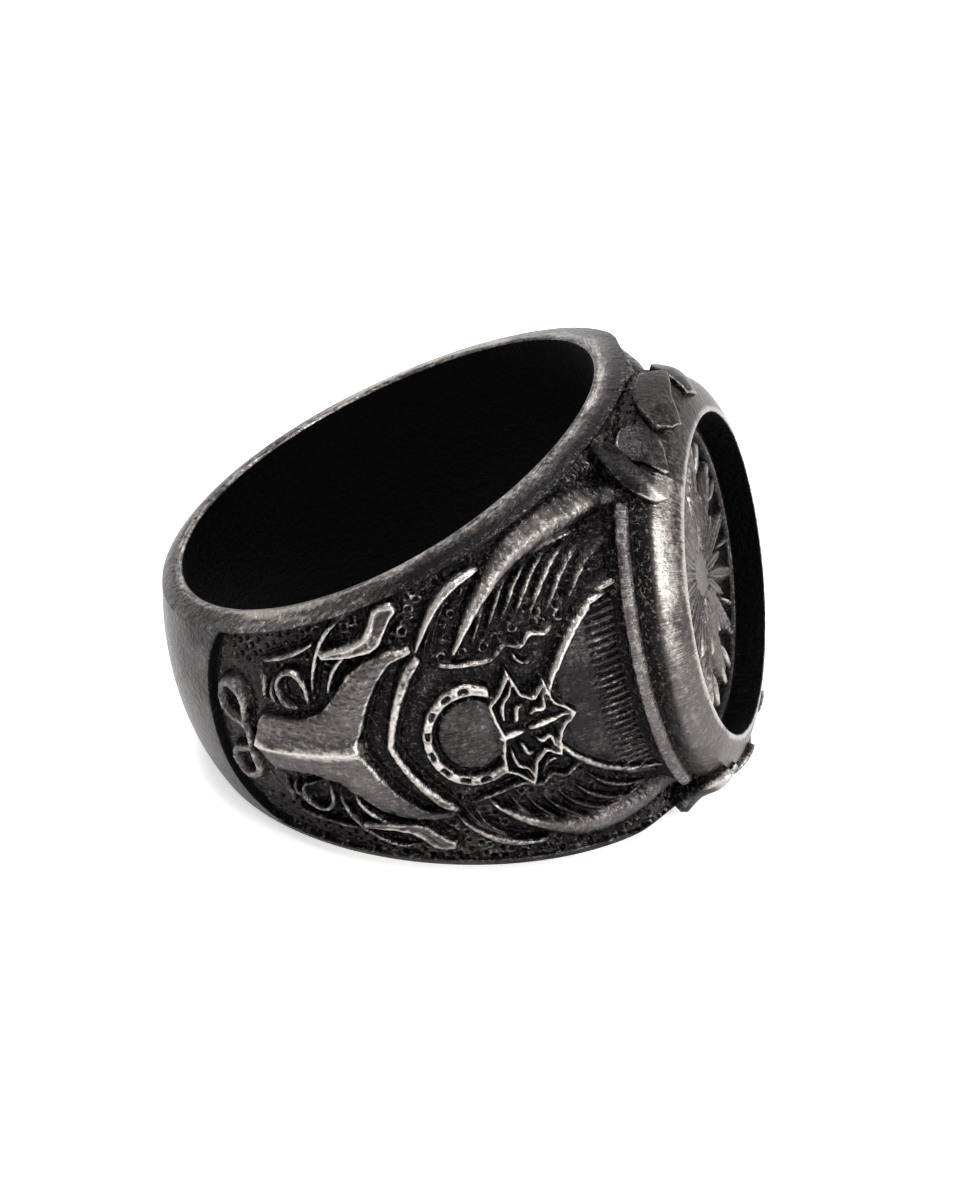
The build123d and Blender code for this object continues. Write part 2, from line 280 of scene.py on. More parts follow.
    def masks(self, fineReach, wideReach):    # how worn, how sunk and how polished each place is
        fine, wide = boxBlur(self.height, fineReach), boxBlur(self.height, wideReach)
        edge, proud = rise(self.height - fine, relief["edge"]), rise(self.height - wide, relief["proud"])
        start, fall = relief["deep"]
        sunk = smoothStep((wide - self.height) / relief["hollow"] + (self.height - start) / fall)
        polish = rise(self.height, relief["polish"])
        worn = relief["edgeWear"] * edge + relief["proudWear"] * proud
        worn = worn * (relief["lowWear"] + (1 - relief["lowWear"]) * polish) + self.rubbed
        return np.clip(worn, 0, 1), sunk * (1 - relief["rubbedClean"] * self.rubbed), polish


tones = {
    # painted shade: the blackest black, for the inside of the finger hole and of the recess
    "soot": (0.0028, 0.0028, 0.0032, 1),
    "black": (0.0064, 0.0055, 0.0060, 1),
    "dark": (0.0134, 0.0116, 0.0122, 1),
    "grey": (0.090, 0.081, 0.078, 1),
    "bright": (0.36, 0.335, 0.31, 1),
    "rim": (0.70, 0.69, 0.69, 1),        # what grazing light keeps of its strength
}

silver = {
    "noises": {                          # scale and detail; the last two are stretched along the lay
        "patch": (170, 2), "cloud": (520, 3), "grain": (4200, 4), "speck": (9000, 2), "dent": (2100, 1),
        "crinkle": (4000, 1), "brush": (1.0, 3, (0.9, 13.0, 1.0)), "scratch": (1.0, 1, (0.35, 26.0, 1.0)),
    },
    "noiseRoughness": 0.62,
    "rubbedBy": {"patch": 1.0, "cloud": 1.2, "brush": 0.8, "grain": 0.6},    # sways of dark against grey
    "wornBy": {"grain": 0.9, "cloud": 0.9, "brush": 0.8}, "worn": (0.34, 1.02),
    "tarnishSway": 0.5, "soot": (1.20, 1.36),      # what is sunk deeper than any field is painted shade black
    "fleckSway": 0.5, "fleck": (0.50, 0.74), "fleckDepth": 0.28,             # bright grains on proud metal
    "foldWidth": 0.07, "foldGrain": (0.44, 0.62), "foldDepth": (0.2, 0.6), "foldEnd": 1.36,
    "foldWear": 0.40,                              # fine bright crinkle lines painted in the sunk ground as glints
    "scratch": (0.66, 0.80), "scratchWear": 0.75,
    "roughness": 0.30, "roughBy": {"brush": 0.22, "grain": 0.16}, "sunkRough": 0.16,
    "heightBy": {"grain": 0.7, "brush": 0.45, "dent": 0.65, "speck": 0.2}, "foldHeight": 0.5,
    "calm": -0.5,                                  # polished metal is smoother
}


class Graph:    # adds nodes to a shader tree and lays them out in rows, in the order in which they come
    def __init__(self, tree):
        self.tree = tree
        self.made = 0

    def add(self, kind, **settings):
        node = self.tree.nodes.new(kind)
        node.location = (220 * (self.made % 10), -300 * (self.made // 10 + 1))
        self.made += 1
        for name, value in settings.items():
            setattr(node, name, value)
        return node

    def plug(self, socket, value):
        if isinstance(value, (int, float, tuple)):
            socket.default_value = value
        else:
            self.tree.links.new(value, socket)

    def work(self, operation, *values, clamp=False):
        node = self.add("ShaderNodeMath", operation=operation, use_clamp=clamp)
        for socket, value in zip(node.inputs, values):
            self.plug(socket, value)
        return node.outputs[0]

    def sway(self, base, noises, amounts, clamp=False):    # base + amount * (noise - 0.5) for each noise
        for i, (name, amount) in enumerate(amounts.items()):
            middle = self.work("SUBTRACT", noises[name], 0.5)
            last = i == len(amounts) - 1
            base = self.work("MULTIPLY_ADD", middle, amount, base, clamp=clamp and last)
        return base

    def ramp(self, value, span):    # from 0 at the span's low end to 1 at its high end
        node = self.add("ShaderNodeMapRange", interpolation_type="SMOOTHSTEP")
        for name, setting in zip(("Value", "From Min", "From Max"), (value, *span)):
            self.plug(node.inputs[name], setting)
        return node.outputs[0]

    def mix(self, share, first, second):
        node = self.add("ShaderNodeMix", data_type="RGBA")
        for i, value in ((0, share), (6, first), (7, second)):
            self.plug(node.inputs[i], value)
        return node.outputs[2]

    def noise(self, vector, scale, detail, stretch=None):
        if stretch:
            mapping = self.add("ShaderNodeMapping")
            self.plug(mapping.inputs["Vector"], vector)
            mapping.inputs["Scale"].default_value = stretch
            vector = mapping.outputs[0]
        node = self.add("ShaderNodeTexNoise")
        settings = {"Vector": vector, "Scale": scale, "Detail": detail, "Roughness": silver["noiseRoughness"]}
        for name, value in settings.items():
            self.plug(node.inputs[name], value)
        return node.outputs["Fac"]


def makeAgedSilver():    # masks of wear and depth, which also carry painted light and shade, in; colour with painted glints, roughness and fine height out
    tree = bpy.data.node_groups.new("agedSilver", "ShaderNodeTree")
    for way, kind, names in (("INPUT", "Vector", ("Place", "Lay")),
                             ("INPUT", "Float", ("Worn", "Sunk", "Polish")),
                             ("OUTPUT", "Color", ("Color",)), ("OUTPUT", "Float", ("Roughness", "Height"))):
        for name in names:
            tree.interface.new_socket(name, in_out=way, socket_type="NodeSocket" + kind)
    graph = Graph(tree)
    start, end = graph.add("NodeGroupInput").outputs, graph.add("NodeGroupOutput").inputs
    sunk, polish = start["Sunk"], start["Polish"]
    noises = {}
    for name, shape in silver["noises"].items():
        noises[name] = graph.noise(start["Lay" if len(shape) > 2 else "Place"], *shape)

    rubbed = graph.sway(polish, noises, silver["rubbedBy"], clamp=True)
    body = graph.mix(rubbed, tones["dark"], tones["grey"])
    tarnish = graph.sway(sunk, noises, {"cloud": silver["tarnishSway"]}, clamp=True)
    body = graph.mix(tarnish, body, tones["black"])
    body = graph.mix(graph.ramp(sunk, silver["soot"]), body, tones["soot"])

    worn = graph.ramp(graph.sway(start["Worn"], noises, silver["wornBy"]), silver["worn"])
    fleck = graph.ramp(graph.sway(noises["grain"], noises, {"brush": silver["fleckSway"]}), silver["fleck"])
    fleck = graph.work("MULTIPLY", fleck, rubbed)
    clear = graph.work("SUBTRACT", silver["fleckDepth"], sunk, clamp=True)
    fleck = graph.work("MULTIPLY", fleck, clear)
    # painted glints: bright crinkle lines mixed into the colour of the sunk ground
    fold = graph.work("ABSOLUTE", graph.work("SUBTRACT", noises["crinkle"], 0.5))
    fold = graph.work("SUBTRACT", 1.0, graph.ramp(fold, (0.0, silver["foldWidth"])))
    fold = graph.work("MULTIPLY", fold, graph.ramp(noises["grain"], silver["foldGrain"]))
    lit = graph.work("SUBTRACT", silver["foldEnd"], sunk, clamp=True)
    lit = graph.work("MULTIPLY", lit, graph.ramp(sunk, silver["foldDepth"]))
    paintedGlints = graph.work("MULTIPLY", fold, graph.work("MULTIPLY", lit, silver["foldWear"]))
    marks = graph.work("MULTIPLY", polish, silver["scratchWear"])
    marks = graph.work("MULTIPLY", graph.ramp(noises["scratch"], silver["scratch"]), marks)
    for brighter in (marks, fleck, paintedGlints):
        worn = graph.work("MAXIMUM", worn, brighter)
    graph.plug(end["Color"], graph.mix(worn, body, tones["bright"]))

    rough = graph.sway(silver["roughness"], noises, silver["roughBy"])
    graph.plug(end["Roughness"], graph.work("MULTIPLY_ADD", sunk, silver["sunkRough"], rough, clamp=True))
    height = 0.0
    for name, amount in silver["heightBy"].items():
        height = graph.work("MULTIPLY_ADD", noises[name], amount, height)
    height = graph.work("MULTIPLY_ADD", fold, silver["foldHeight"], height)
    calm = graph.work("MULTIPLY_ADD", polish, silver["calm"], 1.0, clamp=True)
    graph.plug(end["Height"], graph.work("MULTIPLY", height, calm))
    return tree


agedSilver = makeAgedSilver()


def silverMaterial(name, strength, depth):
    material = bpy.data.materials.new(name)
    material.use_nodes = True
    shader = material.node_tree.nodes["Principled BSDF"].inputs
    shader["Metallic"].default_value = 1.0
    shader["Specular Tint"].default_value = tones["rim"]
    graph = Graph(material.node_tree)
    group = graph.add("ShaderNodeGroup", node_tree=agedSilver)
    graph.plug(group.inputs["Place"], graph.add("ShaderNodeTexCoord").outputs["Object"])
    graph.plug(group.inputs["Lay"], graph.add("ShaderNodeAttribute", attribute_name="lay").outputs["Vector"])
    for mask in ("worn", "sunk", "polish"):
        source = graph.add("ShaderNodeAttribute", attribute_name=mask)
        graph.plug(group.inputs[mask.capitalize()], source.outputs["Fac"])
    bump = graph.add("ShaderNodeBump")
    graph.plug(bump.inputs["Strength"], strength)
    graph.plug(bump.inputs["Distance"], depth)
    graph.plug(bump.inputs["Height"], group.outputs["Height"])
    graph.plug(shader["Base Color"], group.outputs["Color"])
    graph.plug(shader["Roughness"], group.outputs["Roughness"])
    graph.plug(shader["Normal"], bump.outputs["Normal"])
    return material


bumps = {    # strength, and depth in metres
    "castSilver": (0.9, 0.00005), "collarSilver": (0.9, 0.00008), "medallionSilver": (0.6, 0.00005),
}
castSilver, collarSilver, medallionSilver = (silverMaterial(name, *bump) for name, bump in bumps.items())
print("finishes made")

band = {
    "bore": fingerHole["dims"]["r_mm"],
    "halfWidth": (4.48, 6.66, 9.80),     # at the back, the side and the head
    "edgeWall": (0.89, 1.32, 1.70),
    "crestWall": (1.51, 3.03, 3.40),
    "outerEdge": (0.40, 0.42, 0.15),     # how far the rolled end falls to the outer face
    "boreEdge": 0.07, "crest": 0.12,     # and to the bore; the crest's share of the wall
    "slope": 0.34, "slopeReach": 0.95,   # near the head the outer face slopes down to a narrower rim
    "slopeFrom": (0.66, -0.25),          # radians from the head
    "boreRows": 5, "rimRows": 12, "outerRows": 300, "boreSpacing": 3.5,
    "spans": [                           # name, first and last angle of its parts with their columns
        ("shoulder", [(0, 16, 36), (16, 70, 226)]),
        ("shank", [(70, 128, 222), (128, 180, 40)]),
    ],
    "footHeight": 11.88, "footAcross": 8.12, "footAlong": 9.42, "footRoom": 0.03,
    "skirtSlope": 0.70, "skirtBlend": 0.25, "skirtSeam": 0.06,
    "skirtEnd": 8.88, "skirtFall": 2, "skirtLast": 1.5,    # below this height it dives under the band
    "underHead": (7.6, 11.5),            # inside this radius the band is level under the medallion
    "sootDepth": 1.4,                    # painted shade: what the inside of the hole and of the recess gives to Sunk
}

rims = {    # shares run from the bore, 0, to the outer face, 1
    "streakSeed": 5, "streakKnots": 46,
    "grime": (90, -26), "grimeShine": (0.38, 0.40), "grimeSunk": (0.55, 0.45),    # painted shade on the outer half, towards the head
    "bare": (66, 18), "bareEnd": (124, -12), "bareFrom": 0.15,                    # rubbed bare at the side
    "inner": (0.20, 0.24),
    "wear": 0.12, "innerWear": (0.56, 0.16), "bareWear": (0.30, 0.12),            # and how streaky it is; the inner wear is partly a painted highlight
    "polish": 0.50, "barePolish": 0.3, "grimePolish": 0.75, "grimeDepth": 0.60,
}

field = {
    "depth": 0.56, "rimDepth": 0.36, "rimReach": 1.3,
    "wall": 0.17,            # width of the wall down to the floor
    "blend": 0.03,
    "end": 125.6,            # angle of the round end
    "endBow": 7.5, "endHalf": 5.1, "endPower": 4, "endScale": 0.95,
    "border": (0.42, 0.44, 0.17), "lowerBorder": 0.25, "lowerSide": (0, -2), "lowerFrom": (30, 15),
    "middle": 0.45,          # height of the ornament's middle line at the round end
    "flatScale": 0.2304,     # millimetres to a degree on the flat sheet
    "uneven": {"seed": 7, "fine": 0.06, "coarse": 0.084, "most": 0.06, "tall": (-0.04, 0.10), "smoother": 0.55},
    "moat": 0.10,
    "underCollar": (12, 6), "collarSide": (8.3, 0.4),    # nothing is raised under the collar
    "fineReach": 4, "wideReach": 12,
    "plainEdge": 0.1, "plainPolish": 0.12,
    "lowerShade": 0.35, "shadeFrom": (0, -4),            # painted shade: on the side that lies near the table the worn and polish masks are dimmed
}

zones = {    # turn in degrees, side up or down from the middle, room inside the border; what changes there
    # painted shade in the corner beside the collar's foot
    "corner": {"turn": (5, -5), "side": (8.4, -0.5), "worn": 0.45, "sunk": 0.25, "polish": 0.5},
    # painted shadow along the wall at the round end of the field
    "end": {"turn": (114, 6), "room": (0.12, 0.26), "worn": 0.8, "sunk": 1.3, "deepest": 1.15},
    "brink": {"room": (0, 0.22), "worn": 0.85},
    "ledge": {"turn": (36, -10), "side": (7.9, 0.4), "sunk": 0.55, "polish": 0.25},
    "quiet": {"turn": (95, 8), "sunk": 0.42, "worn": 0.35, "unlessRubbed": 0.3},
    "line": {"turn": (50, 20), "room": (0.10, 0.11), "sunk": 0.8},
    "dull": {"turn": (72, 4), "polish": 0.24},
}

anchor = {
    "middle": 0.42, "top": -0.15, "shape": {"bevel": 0.18, "roof": 0.13},
    "ridge": [(113.0, 0, 0.62), (100, 0, 0.72), (92, 0, 0.80), (88.6, 0, 0.5)], "ridgeTop": 0.20,
    "rub": [(112.8, 0, 0.24), (104, -0.06, 0.32), (96, -0.10, 0.38), (89, -0.05, 0.28)], "wear": 0.80,
    "outline": [(113.2, 0), (112.6, 0.85), (110.6, 1.42), (106, 1.48), (101, 1.5), (96, 1.85),
                (92, 2.72), (89, 3.5), (84.5, 4.08), (79, 4.38), (74.6, 4.40), (73.5, 4.12),
                (74.6, 3.86), (79, 3.62), (82, 2.95), (84.6, 2.1), (86.6, 1.15), (88.4, 0.3)],
}
chevron = {
    "middle": 0.35, "top": -0.08,
    "rows": [[(74.2, 3.72, 0.33), (76.5, 3.18, 0.38), (79.2, 2.18, 0.33), (81.4, 1.08, 0.27), (83.0, 0, 0.24)]],
}
disc = {
    "middle": (67.2, 0.12), "squash": 0.885, "outer": 2.55, "inner": 1.90, "core": 1.80,
    "cut": 62.3,             # nearer the head it lies under the cartouche
    "ringTop": -0.04, "coreTop": -0.34, "gap": -0.48,
    "notches": (88, 112, 140, 166, 192, 218, 246, 272),    # 180 is the side away from the head
    "notchSize": (0.16, 0.25), "notchDepth": 0.34, "notchEdge": 0.10,
    "bevel": 0.13, "dome": 0.07, "domeReach": 1.6, "shine": 0.34, "shineReach": 0.8,
}
cartouche = {
    "middle": -0.28, "top": 0.10, "shape": {"bevel": 0.13, "border": 0.20, "sunk": 0.56}, "ribTop": 0.03,
    "outline": [(62.4, 0), (63.2, 0.85), (63.6, 1.75), (61.4, 2.1), (59.6, 2.6), (58.0, 3.2),
                (57.0, 2.5), (56.3, 1.82), (54.6, 1.5), (53.0, 1.85), (51.3, 2.15), (51.1, 1.35),
                (50.3, 0.8), (48.6, 0.45), (46.8, 0)],
    "ribs": [
        [(62.2, 0, 0.20), (60.0, 0, 0.24), (57.9, 0.0, 0.14)],
        [(56.6, 0, 0.12), (54.0, 0, 0.22), (51.0, 0.0, 0.16), (48.6, 0, 0.12)],
        [(61.0, 0.62, 0.08), (60.9, 1.10, 0.17), (60.3, 1.62, 0.16), (58.6, 1.95, 0.13), (58.0, 2.5, 0.10)],
        [(59.2, 0.50, 0.09), (58.6, 0.72, 0.17), (58.1, 1.15, 0.16), (56.7, 1.20, 0.09)],
        [(56.0, 0.55, 0.08), (54.9, 0.80, 0.17), (53.2, 0.70, 0.17), (52.7, 1.25, 0.14), (52.0, 1.65, 0.10)],
    ],
}
fan = {
    "middle": -0.35, "level": -0.34, "shape": {"bevel": 0.12}, "corner": (22, 6.2), "top": -0.02,
    "rows": [[(26.5, 5.42, 0.10), (31.5, 4.92, 0.18), (36, 4.55, 0.23), (40, 4.08, 0.25),
             (44, 3.42, 0.26), (48, 2.50, 0.24), (50.6, 1.7, 0.20), (52, 1.00, 0.12)]],
    "wear": 0.40, "crest": [(29.5, 5.15, 0.14), (38, 4.32, 0.16), (46, 3.0, 0.16), (51, 1.5, 0.12)],
}
hatch = {    # grooves with ridges between them, each with a taper and a tip that droops
    "count": 27, "reach": 4.6, "start": 27.0, "end": 42.6, "bow": 3.2, "droop": 0.03, "tip": 0.02,
    "groove": (0.105, 0.08925), "grooveTaper": 2.2, "depth": 0.28,
    "ridge": (0.085, 0.085), "ridgeTaper": 1.9, "ridgeShort": 0.6, "ridgeTop": 0.0,
}
plumes = {
    "middle": 0.28, "top": 0.08, "wear": 0.26,
    "crest": [(20, 7.0, 0.16), (26, 7.36, 0.24), (34, 7.58, 0.30), (42, 7.5, 0.26), (49, 7.15, 0.18),
              (56, 6.3, 0.10)],
    "rows": [
        [(11.5, 5.95, 0.35), (14.5, 6.40, 0.48), (18, 6.75, 0.58), (22, 7.02, 0.64), (26, 7.22, 0.70),
         (32, 7.36, 0.80), (38, 7.40, 0.86), (44, 7.28, 0.84), (49, 7.00, 0.74), (53.5, 6.52, 0.60),
         (57.5, 5.92, 0.46), (61.5, 5.15, 0.34), (65, 4.3, 0.21), (67.6, 3.5, 0.05)],
        [(56.8, 6.85, 0.08), (60, 6.75, 0.20), (64, 6.45, 0.30), (67.5, 5.95, 0.30), (70.5, 5.25, 0.24),
         (72.8, 4.55, 0.15), (74.6, 3.8, 0.04)],
    ],
}
wave = {
    "middle": 0.45, "top": 0.05, "shape": {"bevel": 0.16},
    "outline": [(75.0, 5.80), (75.9, 6.32), (78.6, 6.30), (81.1, 6.05), (82.6, 5.45), (84.2, 5.00),
                (87.5, 4.72), (94.4, 4.45), (93.8, 3.98), (87, 4.05), (82.4, 4.18), (79.9, 4.50),
                (78.3, 5.02), (76.8, 5.45)],
    "wear": 0.50, "crest": [(77.5, 6.05, 0.20), (80.6, 5.85, 0.20), (82.2, 5.0, 0.22), (88, 4.45, 0.14)],
    "fold": [(77.0, 5.9, 0.10), (79.6, 5.75, 0.15), (81.2, 5.15, 0.14), (84, 4.60, 0.10), (90, 4.3, 0.05)],
    "foldDepth": 0.12,
}
feathers = {
    "count": 7, "middle": 0.1, "top": -0.23, "bow": 0.60,
    "first": [(26.6, 5.95, 0.06), (33.0, 5.62, 0.15), (38.0, 5.02, 0.21), (41.5, 4.30, 0.12),
              (43.5, 3.75, 0.05)],
    "last": [(55.6, 6.20, 0.06), (58.2, 5.60, 0.15), (60.4, 4.85, 0.16), (62.0, 4.25, 0.10),
             (63.0, 3.65, 0.04)],
}
sprigs = {    # fine lines below the plumes and along the border
    "middle": 0.25, "top": -0.16,
    "rows": [
        [(63.8, 6.1, 0.04), (66.6, 5.65, 0.11), (69.2, 4.8, 0.10), (70.6, 3.9, 0.03)],
        [(66.8, 5.7, 0.04), (69.4, 5.1, 0.10), (71.6, 4.3, 0.09), (72.6, 3.5, 0.03)],
        [(30.0, 6.35, 0.05), (36, 6.6, 0.12), (42, 6.65, 0.12), (47, 6.4, 0.05)],
    ],
}
tendrils = {    # between the feathers and the disc
    "middle": 0.15, "top": -0.18,
    "rows": [
        [(46.0, 3.55, 0.08), (48.5, 3.35, 0.17), (51.5, 3.60, 0.19), (54, 3.25, 0.18), (57, 3.55, 0.18),
         (60, 3.15, 0.17), (64, 3.22, 0.17), (68, 3.35, 0.15), (71.5, 3.55, 0.06)],
        [(51.5, 2.75, 0.06), (53.5, 2.45, 0.14), (55.4, 2.75, 0.15), (56.0, 3.3, 0.06)],
    ],
}
scrolls = {    # beside the anchor and at the round end
    "middle": 0.45, "top": -0.06,
    "rows": [
        [(83.6, 5.95, 0.06), (88, 5.70, 0.14), (91.8, 5.1, 0.18), (94.4, 4.3, 0.18), (96.0, 3.3, 0.15),
         (96.9, 2.3, 0.06)],
        [(86.0, 4.30, 0.06), (89.0, 4.05, 0.15), (91.4, 3.5, 0.18), (92.8, 2.85, 0.14), (93.4, 2.25, 0.05)],
        [(95.6, 4.60, 0.10), (100, 4.22, 0.16), (104, 3.98, 0.16), (109.2, 3.70, 0.07)],
        [(109.8, 3.5, 0.07), (108.2, 2.8, 0.17), (109.2, 1.95, 0.06)],
        [(97.9, 2.0, 0.10), (98.4, 2.9, 0.18), (100.6, 3.42, 0.19), (103.4, 3.3, 0.19), (105.0, 2.75, 0.18),
         (103.8, 2.1, 0.15), (100.8, 1.85, 0.11)],
        [(106.0, 3.1, 0.08), (106.6, 2.4, 0.15), (105.8, 1.8, 0.07)],
        [(115.6, 0.85, 0.24), (115.4, 1.75, 0.32), (117.8, 2.26, 0.34), (120.8, 2.28, 0.34),
         (122.3, 1.66, 0.32), (121.0, 1.00, 0.30), (118.4, 0.78, 0.29), (116.0, 0.62, 0.26),
         (114.6, 0.1, 0.20)],
    ],
}
craters = {
    "border": {"from": 76, "to": 119, "spacing": 0.53, "radius": (0.17, 0.20), "rim": 0.07, "pit": 0.26},
    "ground": {"from": 2, "to": 76, "spacing": 0.56, "radius": (0.16, 0.21), "rim": 0.13, "pit": 0.18},
    "clear": (48, 3.3),      # past this angle none this near the middle line
    "seed": 11, "reach": 9.6, "rowStep": 0.86, "shiftAlong": 0.22, "shiftAcross": 0.18,
    "fromBorder": 0.12, "fromForm": 0.7,
}



def roundTheRing(sizes, angle):    # a size at an angle from the head, in radians
    back, side, head = sizes
    c = np.cos(angle)
    return side + (head - back) / 2 * c + ((head + back) / 2 - side) * c * c


def crownRadius(angle, z):
    h = roundTheRing(band["halfWidth"], angle)
    edge, crest = (roundTheRing(band[key], angle) for key in ("edgeWall", "crestWall"))
    crown = band["bore"] + crest - (crest - edge) * (z / h) ** 2
    nearRim = 1 - smoothStep((h - np.abs(z)) / band["slopeReach"])
    return crown - band["slope"] * rise(angle, band["slopeFrom"]) * nearRim


def skirtRadius(angle, z):    # a slope down from the head's oval foot
    k = np.sqrt(np.clip(1 - (z / (band["footAlong"] + band["footRoom"])) ** 2, 1e-4, 1))
    slope, foot = band["skirtSlope"], band["footHeight"]
    out = k * (band["footAcross"] + slope * foot) / (np.sin(angle) + k * slope * np.cos(angle) + 1e-9)
    out = np.where(out * np.cos(angle) > foot, foot / np.maximum(np.cos(angle), 1e-3), out)
    under = np.maximum(band["skirtEnd"] - out * np.cos(angle), 0)
    out = out - band["skirtFall"] * np.minimum(under, 6)
    return np.where(angle < band["skirtLast"], out, 0)


def outerRadius(angle, z):    # the crowned band and the skirt, blended
    crown, skirt, blend = crownRadius(angle, z), skirtRadius(angle, z), band["skirtBlend"]
    seam = band["skirtSeam"] * smoothStep(skirt - crown + 1)
    return 0.5 * (crown + skirt + np.sqrt((crown - skirt) ** 2 + blend ** 2)) - seam


def fieldRoom(angle, z):    # distance inside the border of the sunken field, angle in degrees
    h, border = (roundTheRing(sizes, np.radians(angle)) for sizes in (band["halfWidth"], field["border"]))
    lower = field["lowerBorder"] * rise(z, field["lowerSide"]) * rise(angle, field["lowerFrom"])
    bow = field["endBow"] * (np.abs(z - field["middle"]) / field["endHalf"]) ** field["endPower"]
    end = (field["end"] - bow - angle) * field["flatScale"] * field["endScale"]
    return np.minimum(h - border - lower - np.abs(z), end)


def mirrorRow(row):
    return [(a, -z, *rest) for a, z, *rest in row]


def closed(half):    # the whole outline from its upper half
    return half + mirrorRow([place for place in reversed(half) if place[1] > 0])


def onSheet(row, middle):    # from angles and heights to the flat sheet
    return [(a * field["flatScale"], z + middle, *rest) for a, z, *rest in row]


def drawPlates(sheet):
    for form in (anchor, cartouche):
        outline = onSheet(closed(form["outline"]), form["middle"])
        sheet.plate(outline, form["top"], **form["shape"])
    sheet.ridge(onSheet(anchor["ridge"], anchor["middle"]), anchor["ridgeTop"] - anchor["top"])
    sheet.rub(onSheet(anchor["rub"], anchor["middle"]), anchor["wear"])
    edge = [place[:2] for place in fan["rows"][0]]
    sheet.plate(onSheet(closed([fan["corner"]] + edge), fan["middle"]), fan["level"], **fan["shape"])
    for flip in (list, mirrorRow):
        sheet.plate(onSheet(flip(wave["outline"]), wave["middle"]), wave["top"], **wave["shape"])
        sheet.groove(onSheet(flip(wave["fold"]), wave["middle"]), wave["foldDepth"])
        for row in cartouche["ribs"]:
            sheet.stroke(onSheet(flip(row), cartouche["middle"]), cartouche["ribTop"])


def hatchLine(z, end, taper, widths):
    droop, (root, waist) = hatch["droop"], widths
    line = [(hatch["start"], z, root), (end - taper, z - droop, waist), (end, z - 2 * droop, hatch["tip"])]
    return onSheet(line, fan["middle"])


def drawHatch(sheet):
    for i in range(hatch["count"]):
        z = hatch["reach"] * (2 * i / (hatch["count"] - 1) - 1)
        end = hatch["end"] - hatch["bow"] * (z / hatch["reach"]) ** 2
        sheet.groove(hatchLine(z, end, hatch["grooveTaper"], hatch["groove"]), hatch["depth"])
        z += hatch["reach"] / (hatch["count"] - 1)
        end -= hatch["ridgeShort"]
        sheet.stroke(hatchLine(z, end, hatch["ridgeTaper"], hatch["ridge"]), hatch["ridgeTop"])


def featherRows():    # from the first feather to the last in equal steps
    rows = []
    for i in range(feathers["count"]):
        share = i / (feathers["count"] - 1)
        bow = feathers["bow"] * math.sin(math.pi * share)
        pairs = zip(feathers["first"], feathers["last"])
        mixed = [[p + (q - p) * share for p, q in zip(*pair)] for pair in pairs]
        rows.append([(a, z + bow, w) for a, z, w in mixed])
    return rows


def drawShoulder(sheet):
    drawPlates(sheet)
    drawHatch(sheet)
    groups = [(form, form["rows"]) for form in (chevron, fan, plumes, sprigs, tendrils, scrolls)]
    for form, rows in groups + [(feathers, featherRows())]:
        for row in rows:
            for both in (row, mirrorRow(row)):
                sheet.stroke(onSheet(both, form["middle"]), form["top"])
    for form in (plumes, fan, wave):
        for both in (form["crest"], mirrorRow(form["crest"])):
            sheet.rub(onSheet(both, form["middle"]), form["wear"])


def stampDisc(sheet):    # a ring with notches round a low boss
    s0, z0 = disc["middle"][0] * field["flatScale"], disc["middle"][1]
    spot = sheet.window(np.array([[s0, z0]]), disc["outer"] + relief["margin"])
    ds, dz = (sheet.s[spot] - s0) / disc["squash"], sheet.z[spot] - z0
    away = np.hypot(ds, dz)
    low = sheet.height[spot]
    across = away - (disc["outer"] + disc["inner"]) / 2
    ring = (disc["outer"] - disc["inner"]) / 2 - np.abs(across)
    made = np.where(away < disc["inner"], np.minimum(low, disc["gap"]), low)
    made = made + np.where(ring > 0, (disc["ringTop"] - made) * smoothStep(ring / disc["bevel"]), 0)
    boss = disc["core"] - away
    dome = disc["coreTop"] + disc["dome"] * smoothStep(boss / disc["domeReach"])
    made = np.where(boss > 0, made + (dome - made) * smoothStep(boss / disc["bevel"]), made)
    shine = disc["shine"] * peak(away, (0, disc["shineReach"]))
    sheet.rubbed[spot] = np.maximum(sheet.rubbed[spot], shine)
    turn = np.degrees(np.arctan2(dz, -ds))
    halfWide, halfLong = disc["notchSize"]
    for notch in disc["notches"]:
        side = np.radians((turn - notch + 180) % 360 - 180) * away
        inside = np.minimum(halfWide - np.abs(across), halfLong - np.abs(side))
        made = made - disc["notchDepth"] * smoothStep(inside / disc["notchEdge"])
    shows = (away < disc["outer"]) & (sheet.s[spot] > disc["cut"] * field["flatScale"])
    sheet.height[spot] = np.where(shows, made, low)
    sheet.nearest[spot] = np.minimum(sheet.nearest[spot], away - disc["outer"])


def dotGround(sheet):    # small craters wherever the ground is free
    rng = random.Random(craters["seed"])
    scale, (clearAngle, clearHalf) = field["flatScale"], craters["clear"]
    along, across = craters["shiftAlong"], craters["shiftAcross"]
    for dots in (craters["border"], craters["ground"]):
        step, s, odd = dots["spacing"], dots["from"] * scale, 0
        while s < dots["to"] * scale:
            z = -craters["reach"] + odd * step / 2
            while z < craters["reach"]:
                sHere = s + rng.uniform(-along, along) * step
                zHere = z + rng.uniform(-across, across) * step
                radius = rng.uniform(*dots["radius"])
                z += step
                i = np.searchsorted(sheet.s[:, 0], sHere)
                bare = sHere / scale > clearAngle and abs(zHere - field["middle"]) < clearHalf
                if bare or i >= len(sheet.s) or fieldRoom(sHere / scale, zHere) < craters["fromBorder"]:
                    continue
                j = np.argmin(np.abs(sheet.z[i] - zHere))
                if sheet.nearest[i, j] > radius * craters["fromForm"]:
                    sheet.crater(sHere, zHere, radius, dots["rim"], dots["pit"])
            s += step * craters["rowStep"]
            odd = 1 - odd


